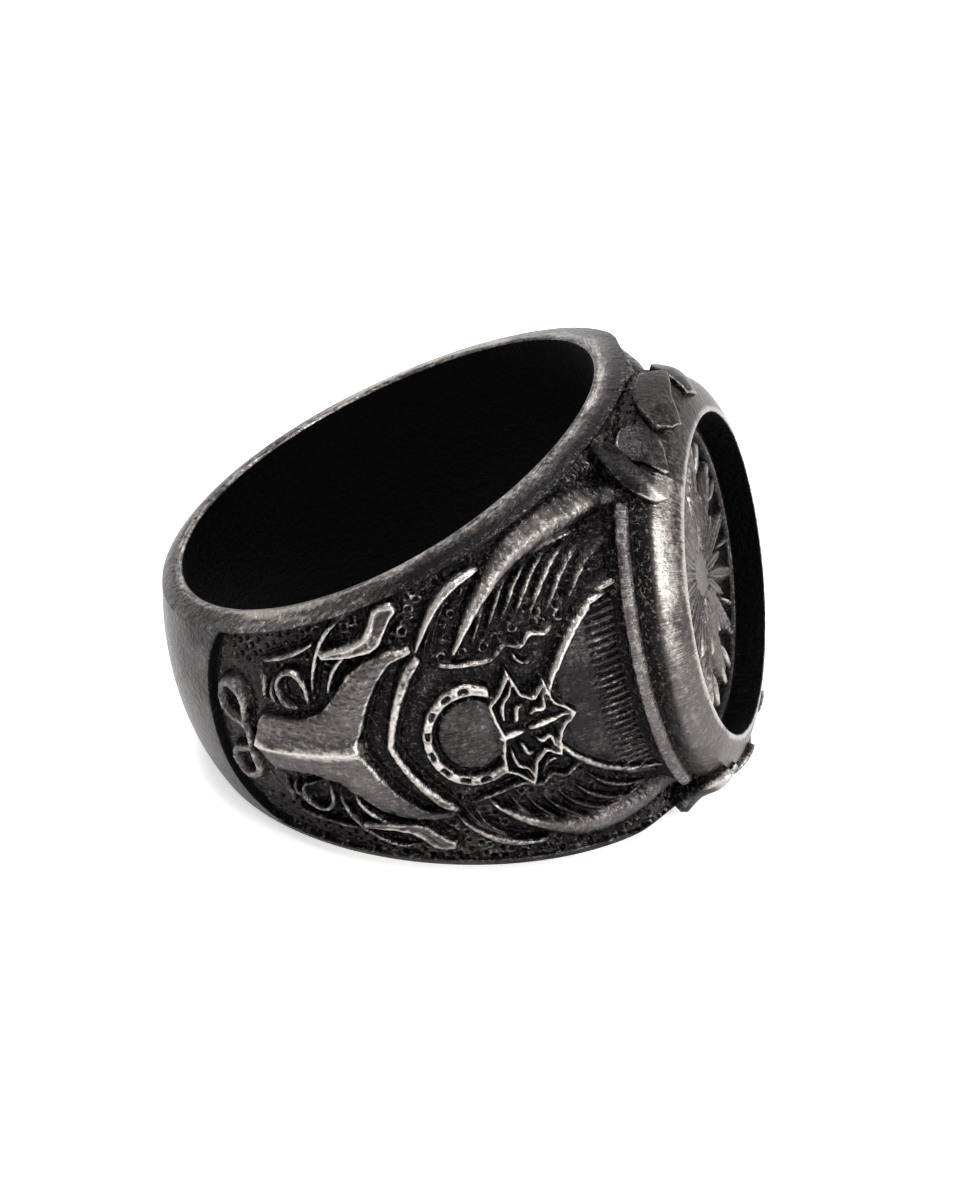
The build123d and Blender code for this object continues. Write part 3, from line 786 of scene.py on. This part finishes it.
def roughenSheet(sheet):    # cast forms are a little uneven, the highest ones less so
    uneven = field["uneven"]
    rng = np.random.default_rng(uneven["seed"])
    fine = uneven["fine"] * boxBlur(boxBlur(rng.standard_normal(sheet.height.shape), 1), 1)
    coarse = uneven["coarse"] * boxBlur(boxBlur(rng.standard_normal(sheet.height.shape), 5), 4)
    smoother = 1 - uneven["smoother"] * rise(sheet.height, uneven["tall"])
    sheet.height = sheet.height + np.clip(fine + coarse, -uneven["most"], uneven["most"]) * smoother


def zoneShare(zone, degrees, z, room):    # how far each place lies in a zone
    share = 1
    if "turn" in zone:
        share = share * rise(degrees, zone["turn"])
    if "side" in zone:
        share = share * rise(np.abs(z), zone["side"])
    if "room" in zone:
        share = share * peak(room, zone["room"])
    return share


def shadeSheet(sheet, degrees, z, room):    # the masks of the outer face, changed zone by zone, with painted shade beside the collar's foot and along the round end
    worn, sunk, polish = sheet.masks(field["fineReach"], field["wideReach"])
    share = {name: zoneShare(zone, degrees, z, room) for name, zone in zones.items()}
    above, across, along = collar["rows"][collar["widestRow"]]
    edge = np.degrees(np.arctan(across * np.sqrt(np.clip(1 - (z / along) ** 2, 0, 1)) / above))
    share["corner"] = zoneShare(zones["corner"], degrees - edge, z, room)    # counted from the collar's foot

    def change(name, mask):
        return zones[name][mask] * share[name]

    worn = worn * (1 - change("corner", "worn")) * (1 - change("end", "worn")) * (1 - change("brink", "worn"))
    sunk = np.clip(sunk + change("corner", "sunk") + change("end", "sunk"), 0, zones["end"]["deepest"])
    polish = polish * (1 - change("corner", "polish")) + change("ledge", "polish")
    sunk = sunk * (1 - change("ledge", "sunk"))
    sunk = sunk * (1 - change("quiet", "sunk") * (1 - share["end"])) + change("line", "sunk")
    worn = worn * (1 - change("quiet", "worn") * (sheet.rubbed < zones["quiet"]["unlessRubbed"]))
    return worn, sunk, polish * (1 - change("dull", "polish"))


def shapeOuterFace(angles):    # radius, height, masks and room inside the border of the outer face
    h, edge = (roundTheRing(band[key], angles)[:, None] for key in ("halfWidth", "outerEdge"))
    z = (h - edge) * np.linspace(-1, 1, band["outerRows"] + 1)[None, :]
    angle = np.repeat(angles[:, None], z.shape[1], 1)
    degrees = np.degrees(angle)
    room = fieldRoom(degrees, z)
    nearBorder = 1 - smoothStep(room / field["rimReach"])
    depth = field["depth"] + (field["rimDepth"] - field["depth"]) * nearBorder
    sheet = Relief(degrees * field["flatScale"], z, -depth * smoothStep(room / field["wall"]))
    drawShoulder(sheet)
    sheet.build(field["moat"], lambda one: (stampDisc(one), dotGround(one)))
    roughenSheet(sheet)
    sheet.height = np.where(room > 0, sheet.height, 0) * smoothStep(room / field["blend"])
    outside = rise(degrees, field["underCollar"]) + rise(np.abs(z), field["collarSide"])
    sheet.height = sheet.height * np.clip(outside, 0, 1)
    return outerRadius(angle, z) + sheet.height, z, shadeSheet(sheet, degrees, z, room), room


def layOuterFace(sheets, angles):
    radius, z, (worn, sunk, polish), room = shapeOuterFace(angles)
    first = band["boreRows"] + band["rimRows"]
    rows = slice(first, first + band["outerRows"] + 1)
    plain = 1 - smoothStep(room / field["plainEdge"])
    # painted shade, darker towards the table
    shade = 1 - field["lowerShade"] * rise(z, field["shadeFrom"])
    sheets["r"][:, rows], sheets["z"][:, rows] = radius, z
    sheets["worn"][:, rows] = worn * shade
    sheets["sunk"][:, rows] = sunk
    sheets["polish"][:, rows] = (polish * (1 - plain) + field["plainPolish"] * plain) * shade


def layRims(sheets, angles):    # rounded, rubbed on the bore's side and streaky, with a painted highlight along the inner half and painted shade on the outer half towards the head
    h, degrees = roundTheRing(band["halfWidth"], angles), np.degrees(angles)
    boreRows, rimRows, crest = band["boreRows"], band["rimRows"], band["crest"]
    last = sheets["r"].shape[1] - 1
    wall = sheets["r"][:, boreRows + rimRows] - band["bore"]
    grime, bare = rise(degrees, rims["grime"]), rise(degrees, rims["bare"]) * rise(degrees, rims["bareEnd"])
    rng = np.random.default_rng(rims["streakSeed"])
    knots = np.linspace(0, math.pi, rims["streakKnots"])
    for i in range(rimRows):
        share = 0.5 - 0.5 * math.cos(math.pi * i / rimRows)
        if share < crest:
            fall = band["boreEdge"] * (1 - share / crest) ** 2
        else:
            fall = roundTheRing(band["outerEdge"], angles) * ((share - crest) / (1 - crest)) ** 2
        # painted shade: duller and more sunk on the outer half towards the head
        shadeDulling = rims["grimePolish"] * grime * rise(share, rims["grimeShine"])
        for row, sign in ((boreRows + i, -1), (last - boreRows - i, 1)):
            streak = np.interp(angles, knots, rng.standard_normal(len(knots)))
            innerWear, bareWear = (wear + sway * streak for wear, sway in (rims["innerWear"], rims["bareWear"]))
            worn = innerWear * peak(share, rims["inner"]) + bareWear * bare * (share > rims["bareFrom"])
            sheets["r"][:, row] = band["bore"] + wall * share
            sheets["z"][:, row] = sign * (h - fall)
            sheets["worn"][:, row] = np.clip(rims["wear"] + worn, 0, 1)
            sheets["polish"][:, row] = rims["polish"] + rims["barePolish"] * bare - shadeDulling
            sheets["sunk"][:, row] = rims["grimeDepth"] * grime * rise(share, rims["grimeSunk"])


def layBore(sheets, angles):    # the face of the finger hole, painted black as shade
    end = roundTheRing(band["halfWidth"], angles) - band["boreEdge"]
    last = sheets["r"].shape[1] - 1
    for i in range(band["boreRows"]):
        out = 1 - (1 - i / band["boreRows"]) ** band["boreSpacing"]
        for row, sign in ((i, -1), (last - i, 1)):
            sheets["r"][:, row] = band["bore"]
            sheets["z"][:, row] = sign * end * out
            sheets["sunk"][:, row] = band["sootDepth"]


def ringColumns():    # the angles of all columns of a half, and the columns at which its pieces part
    angles, cuts = [0.0], [0]
    for name, parts in band["spans"]:
        for first, last, columns in parts:
            angles += list(first + (last - first) * (np.arange(columns) + 1) / columns)
        cuts.append(len(angles) - 1)
    return np.radians(angles), cuts


def makeHalf(tag, side):
    angles, cuts = ringColumns()
    rows = 2 * band["boreRows"] + 2 * band["rimRows"] + band["outerRows"]
    sheets = {key: np.zeros((len(angles), rows + 1)) for key in ("r", "z", "worn", "sunk", "polish")}
    layOuterFace(sheets, angles)
    layRims(sheets, angles)
    layBore(sheets, angles)
    radius, level = band["underHead"]
    pieces = []
    for (name, parts), first, last in zip(band["spans"], cuts[:-1], cuts[1:]):
        piece, column, row = gridPiece(name + "_" + tag, last - first, rows)
        take = {key: values[first:last + 1][column, row] for key, values in sheets.items()}
        angle = angles[first:last + 1][column]
        x, y = take["r"] * np.cos(angle), -side * take["r"] * np.sin(angle)
        x = np.where((np.hypot(y, take["z"]) < radius) & (x > level), level, x)
        writePoints(piece, np.stack([x, y, take["z"]], 1))
        for mask in ("worn", "sunk", "polish"):
            paintMask(piece, mask, take[mask])
        paintLay(piece, np.degrees(angle) * field["flatScale"], take["z"] + take["r"])
        finishMesh(piece, castSilver)
        pieces.append(piece)
    return pieces


collar = {
    "vertices": 176, "smoothing": 2, "widestRow": 4,
    "rows": [                      # height from the hole's middle, half size across and along
        (11.00, 8.30, 9.40), (11.53, 8.40, 9.52), (11.58, 8.52, 9.66), (11.65, 8.60, 9.74),
        (11.75, 8.62, 9.78), (11.90, 8.58, 9.74), (12.05, 8.50, 9.67), (12.14, 8.42, 9.58),
        (12.20, 8.28, 9.42), (12.24, 8.20, 9.33), (12.30, 8.20, 9.31), (12.42, 8.26, 9.31),
        (12.62, 8.36, 9.28), (12.90, 8.46, 9.16), (13.20, 8.46, 8.96), (13.50, 8.32, 8.68),
        (13.76, 8.06, 8.30), (13.95, 7.76, 7.90), (14.08, 7.50, 7.58), (14.15, 7.32, 7.36),
        (14.18, 7.23, 7.25), (14.16, 7.17, 7.17), (14.06, 7.15, 7.15), (13.5, 7.14, 7.14),
        (12.8, 7.13, 7.13), (12.05, 7.12, 7.12), (12.0, 6.9, 6.9),
    ],
    "ground": {"turn": (51, 3),    # the bead stops at the ribbons
               "rows": [(10.9, 8.2, 9.3), (11.6, 8.22, 9.52), (12.0, 8.16, 9.42), (12.45, 8.26, 9.31)]},
    "pebbles": {"seed": 3, "spacing": 0.50, "radius": 0.17, "arc": 0.165, "from": 11.0, "to": 12.5,
                "turn": 53, "outside": 8, "rim": 0.06, "pit": 0.16, "shiftAlong": 0.2, "shiftUp": 0.15},
    "wall": 7.22, "recess": 14.13,    # the recess lies inside this radius and below this height
}

collarLook = {    # heights, and degrees round the head from the middle of the near side
    "bead": (11.52, 0.10), "beadTop": (12.20, -0.06), "beadWear": 0.42, "beadPolish": 0.70,
    "lip": (14.17, 0.07), "lipWear": 0.7,
    "rubbed": (13.00, 0.30), "rubbedTop": (13.75, 0.25), "topFade": 0.45, "wear": 0.62,
    "wearRound": (0.50, 0.30, 0.50),                       # worn all round, and painted highlight on the upper side and in the highlight band
    # turns of the upper side, of the painted highlight band and of the lower side
    "upper": (-25, 30), "high": (10, 24), "upperEnd": 62, "lower": (0, -35), "lowerEnd": 120,
    "barrel": (12.80, 0.45), "polish": (-0.30, 1.0), "lowerPolish": (0.55, -0.40),    # all over, on the barrel; the second pair paints light on the lower side
    "seam": (12.25, 0.06), "seamDark": 0.9, "foot": (11.6, -0.10),
    "shade": (12.25, 0.10), "shadeTop": (13.20, -0.35), "shadeDark": 0.62,
    "groundTop": (12.6, -0.2), "groundDark": 0.62, "ringDark": 0.3, "ringWear": 0.24, "groundDull": 0.35,
    "lay": (1.2, 20, 9),                                   # its stretch and start upwards, and its radius
}

castPieces = makeHalf("near", 1) + makeHalf("far", -1)    # their masks read the collar's foot


def makeCollarShell():    # an oval extruded up the barrel and down the recess, and smoothed
    rows = collar["rows"]
    clearSelection()
    x, across, length = rows[0]
    bpy.ops.mesh.primitive_circle_add(vertices=collar["vertices"], radius=1, location=(x, 0, 0),
                                      rotation=(0, math.pi / 2, 0))
    piece = bpy.context.object
    piece.name = "collar"
    bpy.ops.object.transform_apply(location=True, rotation=True, scale=True)
    bpy.ops.object.mode_set(mode="EDIT")
    bpy.ops.mesh.select_all(action="SELECT")
    bpy.ops.transform.resize(value=(1, across, length), center_override=(x, 0, 0))
    for before, now in zip(rows[:-1], rows[1:]):
        bpy.ops.mesh.extrude_region_move(TRANSFORM_OT_translate={"value": (now[0] - before[0], 0, 0)})
        bpy.ops.transform.resize(value=(1, now[1] / before[1], now[2] / before[2]),
                                 center_override=(now[0], 0, 0))
    bpy.ops.object.mode_set(mode="OBJECT")
    smooth = piece.modifiers.new("smooth", "SUBSURF")
    smooth.levels = smooth.render_levels = collar["smoothing"]
    bpy.ops.object.modifier_apply(modifier=smooth.name)
    return piece


def fromSides(turn):    # degrees up or down from the near or the far side
    return 90 - np.abs(np.abs(turn) - 90)


def flattenBead(p, turn):    # how far each place lies on the plain ground under the ribbons
    share = rise(fromSides(turn), collar["ground"]["turn"])
    table = np.array(collar["ground"]["rows"])
    a, b = (np.interp(p[:, 0], table[:, 0], table[:, i]) for i in (1, 2))
    out = np.sqrt((p[:, 1] / a) ** 2 + (p[:, 2] / b) ** 2)
    proud = (p[:, 0] < table[-1, 0]) & (out > 1)
    p[:, 1:] *= np.where(proud, 1 + share * (1 / np.maximum(out, 0.1) - 1), 1)[:, None]
    return share


def pitFoot(p, turn, out):    # how far each place lies on the ring and in the bowl of a cast pit
    pebbles = collar["pebbles"]
    step, radius, arc = pebbles["spacing"], pebbles["radius"], pebbles["arc"]
    around, up = pebbles["shiftAlong"], pebbles["shiftUp"]
    rng = random.Random(pebbles["seed"])
    rings, pits = np.zeros(len(p)), np.zeros(len(p))
    outside = (out > pebbles["outside"]) & (p[:, 0] < pebbles["to"] + radius * 2)
    for column in np.arange(-180, 180, step / arc):
        if fromSides(column) < pebbles["turn"]:
            continue
        x = pebbles["from"]
        while x < pebbles["to"]:
            here = column * arc + rng.uniform(-around, around) * step
            level = x + rng.uniform(-up, up) * step
            ring, bowl = craterShape(np.hypot(turn * arc - here, p[:, 0] - level), radius)
            rings, pits = np.maximum(rings, ring * outside), np.maximum(pits, bowl * outside)
            x += step
    p[:, 1:] *= (1 + (pebbles["rim"] * rings - pebbles["pit"] * pits) / np.maximum(out, 1))[:, None]
    return rings, pits


def paintCollar(piece, x, turn, out, ground, rings, pits):
    look, wall = collarLook, out > collar["wall"]
    inside = (~wall) & (x < collar["recess"])
    upper, high = (rise(turn, look[key]) * (turn < look["upperEnd"]) for key in ("upper", "high"))
    lower = rise(turn, look["lower"]) * (np.abs(turn) < look["lowerEnd"])
    bead = rise(x, look["bead"]) * rise(x, look["beadTop"]) * (1 - ground) * wall
    everywhere, above, highlight = look["wearRound"]
    # rubbed bright, with a painted highlight added on the upper side and in the highlight band
    rubbed = rise(x, look["rubbed"]) * (1 - look["topFade"] * rise(x, look["rubbedTop"])) * wall
    rubbed = rubbed * (everywhere + above * upper + highlight * high)
    worn = look["beadWear"] * bead + look["wear"] * rubbed + look["lipWear"] * peak(x, look["lip"])
    worn = np.maximum(np.clip(worn, 0, 1), rings * look["ringWear"])
    (base, barrel), (lowBase, lowBarrel) = look["polish"], look["lowerPolish"]
    # painted light: the lower side is lighter
    polish = base + lowBase * lower + (barrel + lowBarrel * lower) * rise(x, look["barrel"]) * wall
    polish = np.maximum(polish, look["beadPolish"] * bead)
    seam = look["seamDark"] * peak(x, look["seam"]) * wall
    foot = rise(x, look["foot"]) * wall
    # painted shade on the barrel next to the bead, on the upper side
    shade = look["shadeDark"] * rise(x, look["shade"]) * rise(x, look["shadeTop"]) * wall * upper
    under = ground * rise(x, look["groundTop"]) * (look["groundDark"] - look["ringDark"] * rings)
    dark = np.max([seam, foot, shade, under, pits], axis=0)
    paintMask(piece, "worn", worn * (1 - inside))
    # the inside of the recess is painted black as shade
    paintMask(piece, "sunk", np.where(inside, band["sootDepth"], dark))
    paintMask(piece, "polish", polish * (1 - ground * look["groundDull"]))
    stretch, start, radius = look["lay"]
    paintLay(piece, x * stretch + start, np.radians(turn) * radius)


def makeCollar():
    piece = makeCollarShell()
    p = readPoints(piece)
    turn = np.degrees(np.arctan2(p[:, 2], -p[:, 1]))    # round the head from the middle of the near side
    out = np.hypot(p[:, 1], p[:, 2])
    ground = flattenBead(p, turn)
    rings, pits = pitFoot(p, turn, out)
    writePoints(piece, p)
    paintCollar(piece, p[:, 0], turn, out, ground, rings, pits)
    finishMesh(piece, collarSilver)
    return piece


collarPiece = makeCollar()

ribbons = {
    "lift": 0.16, "sink": 0.34, "along": 56, "across": 26,
    "border": 2,                   # this many rows of faces on each side go down to the collar
    "risers": (0.45, 0.93), "arch": 0.05, "tipArch": 0.12, "endArch": 0.03,
    "outer": (12.6, 0.9),          # the ends out on the collar are rubbed brighter
    "tip": (0.48, 0.30), "wear": (0.25, 0.40, 0.25, 0.22), "sunk": (0.8, 0.22), "polish": (0.10, 0.50),
    "lay": (1.2, 9), "joinWithin": 0.0003,
    "wall": [                      # height, half size across and along of what the ribbons lie on
        (10.70, 8.93, 10.60), (11.30, 8.66, 9.98), (11.80, 8.52, 9.60), (12.30, 8.47, 9.41),
        (12.62, 8.46, 9.32), (12.90, 8.46, 9.20), (13.20, 8.44, 8.98), (13.50, 8.31, 8.68),
        (13.76, 8.06, 8.30), (13.95, 7.76, 7.90), (14.08, 7.50, 7.58),
    ],
    "shapes": [                    # left and right edge: turn round the head, height; lift; wear of its end
        ("strap", [(63.4, 10.72), (59.6, 11.30), (56.2, 11.95), (53.6, 12.62), (51.9, 13.12), (51.9, 13.36)],
         [(66.8, 10.90), (66.4, 11.60), (62.4, 12.40), (58.8, 13.10), (55.8, 13.50), (53.2, 13.56)],
         0.30, 0.70),
        ("leaf", [(73.5, 11.75), (70.4, 11.60), (67.0, 11.62), (64.6, 12.02), (63.4, 12.75), (61.6, 13.55)],
         [(75.4, 12.25), (75.6, 12.70), (73.6, 13.15), (70.2, 13.42), (66.4, 13.55), (62.4, 13.66)],
         0.0, 0.0),
        ("scroll", [(96.5, 11.90), (86.0, 12.00), (81.6, 12.28), (77.2, 12.72), (75.4, 13.10), (77.8, 13.56)],
         [(103.0, 12.85), (97.0, 13.12), (91.0, 13.30), (87.2, 13.50), (84.2, 13.66), (81.6, 13.76)],
         0.16, 0.0),
        ("back", [(112.0, 11.85), (106.0, 12.35), (102.5, 12.95), (101.0, 13.70)],
         [(119.0, 12.20), (114.0, 12.80), (110.5, 13.35), (107.0, 13.86)],
         0.02, 0.0),
    ],
}


def onWall(turn, x):    # a place on the collar's wall, from degrees round the head and a height
    table = curveThrough(ribbons["wall"], 4)
    a, b = (np.interp(x, table[:, 0], table[:, i]) for i in (1, 2))
    t = np.radians(turn)
    out = 1 / np.sqrt((np.cos(t) / a) ** 2 + (np.sin(t) / b) ** 2)
    return np.stack([x, -out * np.cos(t), out * np.sin(t)], -1)


def wallNormal(turn, x):    # pointing out from the collar
    here = onWall(turn, x)
    normal = np.cross(onWall(turn, x + 0.05) - here, onWall(turn + 0.5, x) - here)
    normal /= np.linalg.norm(normal, axis=1)[:, None]
    return normal * np.sign((normal * here * np.array([0, 1, 1])).sum(1))[:, None]


def betweenEdges(left, right, u, w):    # u runs along the ribbon and w across it
    edges = []
    for side in (left, right):
        line = curveThrough(side, 8)
        step = np.arange(len(line)) / (len(line) - 1)
        edges.append(np.stack([np.interp(u, step, line[:, i]) for i in (0, 1)], 1))
    return edges[0] * (1 - w)[:, None] + edges[1] * w[:, None]


def makeRibbon(name, left, right, lift, wear, end):
    long, wide, border = ribbons["along"], ribbons["across"], ribbons["border"]
    piece, column, row = gridPiece(name, long, wide)
    u = np.clip((column - border) / (long - 2 * border), 0, 1)
    w = np.clip((row - border) / (wide - 2 * border), 0, 1)
    rim = np.minimum(np.minimum(column, long - column), np.minimum(row, wide - row))
    turn, x = betweenEdges(left, right, u, w).T
    top = ribbons["lift"] + lift
    arch = (ribbons["arch"] + ribbons["tipArch"] * wear) * np.sin(math.pi * w)
    arch = arch + ribbons["endArch"] * np.sin(math.pi * u)
    first, second = ribbons["risers"]
    levels = [-ribbons["sink"], top * first, top * second]
    raised = np.select([rim == 0, rim == 1, rim == 2], levels, top + arch)
    p = onWall(turn, x) + wallNormal(turn, x) * raised[:, None]
    p[:, 2] *= end
    writePoints(piece, p)
    low = rise(x, ribbons["outer"])
    tip = wear * rise(u, ribbons["tip"])
    side, edge, edgeMore, inner = ribbons["wear"]
    worn = np.select([rim == 0, rim == 1, rim < 4], [0.0, side, edge + edgeMore * low], inner * low)
    (under, sunk), (polish, polishMore) = ribbons["sunk"], ribbons["polish"]
    paintMask(piece, "worn", np.clip(worn + tip * (rim > 1), 0, 1))
    paintMask(piece, "sunk", np.where(rim < 2, under, sunk * (1 - low) * (1 - tip)))
    paintMask(piece, "polish", polish + polishMore * low + tip)
    stretch, radius = ribbons["lay"]
    paintLay(piece, x * stretch, np.radians(turn) * radius)
    finishMesh(piece, castSilver, ribbons["joinWithin"])
    return piece


for end, where in ((1, "top"), (-1, "bottom")):
    for name, left, right, lift, wear in ribbons["shapes"]:
        castPieces.append(makeRibbon(name + "_" + where, left, right, lift, wear, end))
castPieces.append(collarPiece)

medallion = {
    "radius": 7.06, "face": 12.66, "turns": 440, "rings": 96, "skirt": (0.1, 0.3, 0.55),
    "dome": 0.10, "border": 0.42, "borderTop": 0.20, "borderEdge": 0.1, "moat": 0.08,
    "leafCount": 12, "leafTop": 0.52, "leafVein": 0.16,
    "leaf": [(1.35, 0, 0.16), (2.2, 0, 0.42), (3.4, 0, 0.62), (4.6, 0, 0.52), (5.5, 0, 0.26), (6.05, 0, 0.04)],
    "barbs": {"count": 8, "first": 1.7, "step": 0.48, "run": 0.60, "spread": 0.46, "depth": 0.20,
              "root": 0.06, "width": (0.05, 0.04)},
    "inner": [(0.9, 0, 0.12), (1.7, 0, 0.34), (2.5, 0, 0.40), (3.3, 0, 0.26), (3.9, 0, 0.04)],
    "innerTop": 0.50, "innerVein": 0.14,
    "bud": [(4.3, 0, 0.05), (5.1, 0, 0.17), (5.8, 0, 0.24), (6.35, 0, 0.05)], "budTop": 0.36,
    "boss": 1.5, "bossTop": 0.34, "bossFoot": 0.12, "beads": 14, "beadTop": 0.07, "beadRing": (1.15, 0.16),
    "fineReach": 3, "wideReach": 9, "ground": (0.24, -0.2), "groundDark": 0.9, "wear": 0.85,
    "polish": (0.45, 0.95), "lay": 4, "joinWithin": 0.0008,
}


def spun(row, turn):
    c, s = math.cos(turn), math.sin(turn)
    return [(u * c - v * s, u * s + v * c, w) for u, v, w in row]


def drawRosette(sheet):
    m, barbs = medallion, medallion["barbs"]
    step = 2 * math.pi / m["leafCount"]
    (root, tip), half = barbs["width"], step / 2
    for turn in step * np.arange(m["leafCount"]):
        sheet.stroke(spun(m["leaf"], turn), m["leafTop"], m["leafVein"])
        sheet.stroke(spun(m["bud"], turn + half), m["budTop"])
        sheet.stroke(spun(m["inner"], turn + half), m["innerTop"], m["innerVein"])
        for u in barbs["first"] + barbs["step"] * np.arange(barbs["count"]):
            for side in (-1, 1):
                barb = [(u, barbs["root"] * side, root), (u + barbs["run"], barbs["spread"] * side, tip)]
                sheet.groove(spun(barb, turn), barbs["depth"])


def makeMedallion():
    m = medallion
    piece, column, row = gridPiece("medallion_plate", m["turns"], m["rings"])
    flatRings = m["rings"] + 1 - len(m["skirt"])
    out = np.concatenate([np.linspace(0, m["radius"], flatRings), np.full(len(m["skirt"]), m["radius"])])
    down = np.concatenate([np.zeros(flatRings), m["skirt"]])
    r, t = np.meshgrid(out, 2 * math.pi * np.arange(m["turns"] + 1) / m["turns"])
    sheet = Relief(r * np.cos(t), r * np.sin(t), m["dome"] * (1 - (r / m["radius"]) ** 2))
    drawRosette(sheet)
    sheet.build(m["moat"])
    dome = np.sqrt(np.clip(1 - (r / m["boss"]) ** 2, 0, 1))
    beads = m["beadTop"] * (0.5 + 0.5 * np.cos(t * m["beads"])) * peak(r, m["beadRing"])
    boss = np.where(dome > 0, m["bossTop"] * dome + m["bossFoot"] + beads, -1)
    border = m["borderTop"] * rise(r, (m["radius"] - m["border"], m["borderEdge"]))
    sheet.height = np.maximum(np.maximum(sheet.height, boss), border)
    x = m["face"] + np.where(down > 0, 0, sheet.height) - down
    points = np.stack([x, r * np.cos(t), r * np.sin(t)], -1)
    writePoints(piece, points[column, row])
    worn = sheet.masks(m["fineReach"], m["wideReach"])[0] * m["wear"]
    low = m["groundDark"] * rise(sheet.height, m["ground"])
    polish, brightest = m["polish"]
    paintMask(piece, "worn", worn[column, row])
    paintMask(piece, "sunk", np.maximum(low, 1.0 * (down > 0))[column, row])
    paintMask(piece, "polish", np.clip(polish + sheet.height, 0, brightest)[column, row])
    paintLay(piece, r[column, row], (t * m["lay"])[column, row])
    finishMesh(piece, medallionSilver, m["joinWithin"])
    return piece


medallionPiece = makeMedallion()

for piece in castPieces:
    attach(piece, "root")
    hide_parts("ring_body")
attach(medallionPiece, "root")
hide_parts("medallion")

studio = {
    "floor": (0.92, 0.92, 0.92, 1), "floorSize": 2.4, "floorPlace": (0, 0.6, 0), "floorRoughness": 0.9,
    "white": (1, 1, 1, 1), "glow": 0.42, "world": 0.85,
    "aim": (0, 0, 0.008),          # the lights point here
    "lights": [                    # name, place, size, watts
        ("softTop", (-0.06, 0.02, 0.48), (0.22, 0.22), 2.6),
        ("softRight", (0.42, -0.22, 0.26), (0.20, 0.20), 1.3),
        ("softBack", (-0.05, 0.55, 0.30), (0.40, 0.40), 1.2),
        ("softFront", (0.31, -0.34, 0.20), (0.08, 0.42), 1.6),
    ],
}
camera = {
    "place": (0.03118, -0.15915, 0.11297), "turn": (56.895, -1.505, 11.833), "lens": 128.8, "nearest": 0.01,
}


def makeFloor():
    clearSelection()
    bpy.ops.mesh.primitive_plane_add(size=studio["floorSize"], location=studio["floorPlace"])
    floor = bpy.context.object
    floor.name = "table"
    bpy.ops.object.transform_apply(location=True, rotation=True, scale=True)
    paper = bpy.data.materials.new("whitePaper")
    paper.use_nodes = True
    shader = paper.node_tree.nodes["Principled BSDF"].inputs
    shader["Base Color"].default_value = studio["floor"]
    shader["Roughness"].default_value = studio["floorRoughness"]
    shader["Emission Color"].default_value = studio["white"]
    shader["Emission Strength"].default_value = studio["glow"]
    floor.data.materials.append(paper)


def makeLights():
    world = bpy.data.worlds.new("studio")
    bpy.context.scene.world = world
    world.use_nodes = True
    background = world.node_tree.nodes["Background"].inputs
    background["Color"].default_value = studio["white"]
    background["Strength"].default_value = studio["world"]
    for name, place, size, watts in studio["lights"]:
        bpy.ops.object.light_add(type="AREA", location=place)
        lamp = bpy.context.object
        lamp.name = name
        lamp.data.shape = "RECTANGLE"
        lamp.data.size, lamp.data.size_y = size
        lamp.data.energy = watts
        x, y, z = np.array(studio["aim"]) - np.array(place)
        lamp.rotation_euler = (math.atan2(math.hypot(x, y), -z), 0, math.atan2(y, x) - math.pi / 2)
    bpy.context.scene.view_settings.view_transform = "Standard"


def makeCamera():
    turn = [math.radians(a) for a in camera["turn"]]
    bpy.ops.object.camera_add(location=camera["place"], rotation=turn)
    eye = bpy.context.object
    eye.name = "photoCamera"
    eye.data.lens = camera["lens"]
    eye.data.clip_start = camera["nearest"]
    bpy.context.scene.camera = eye


makeFloor()
makeLights()
makeCamera()
print("studio set")
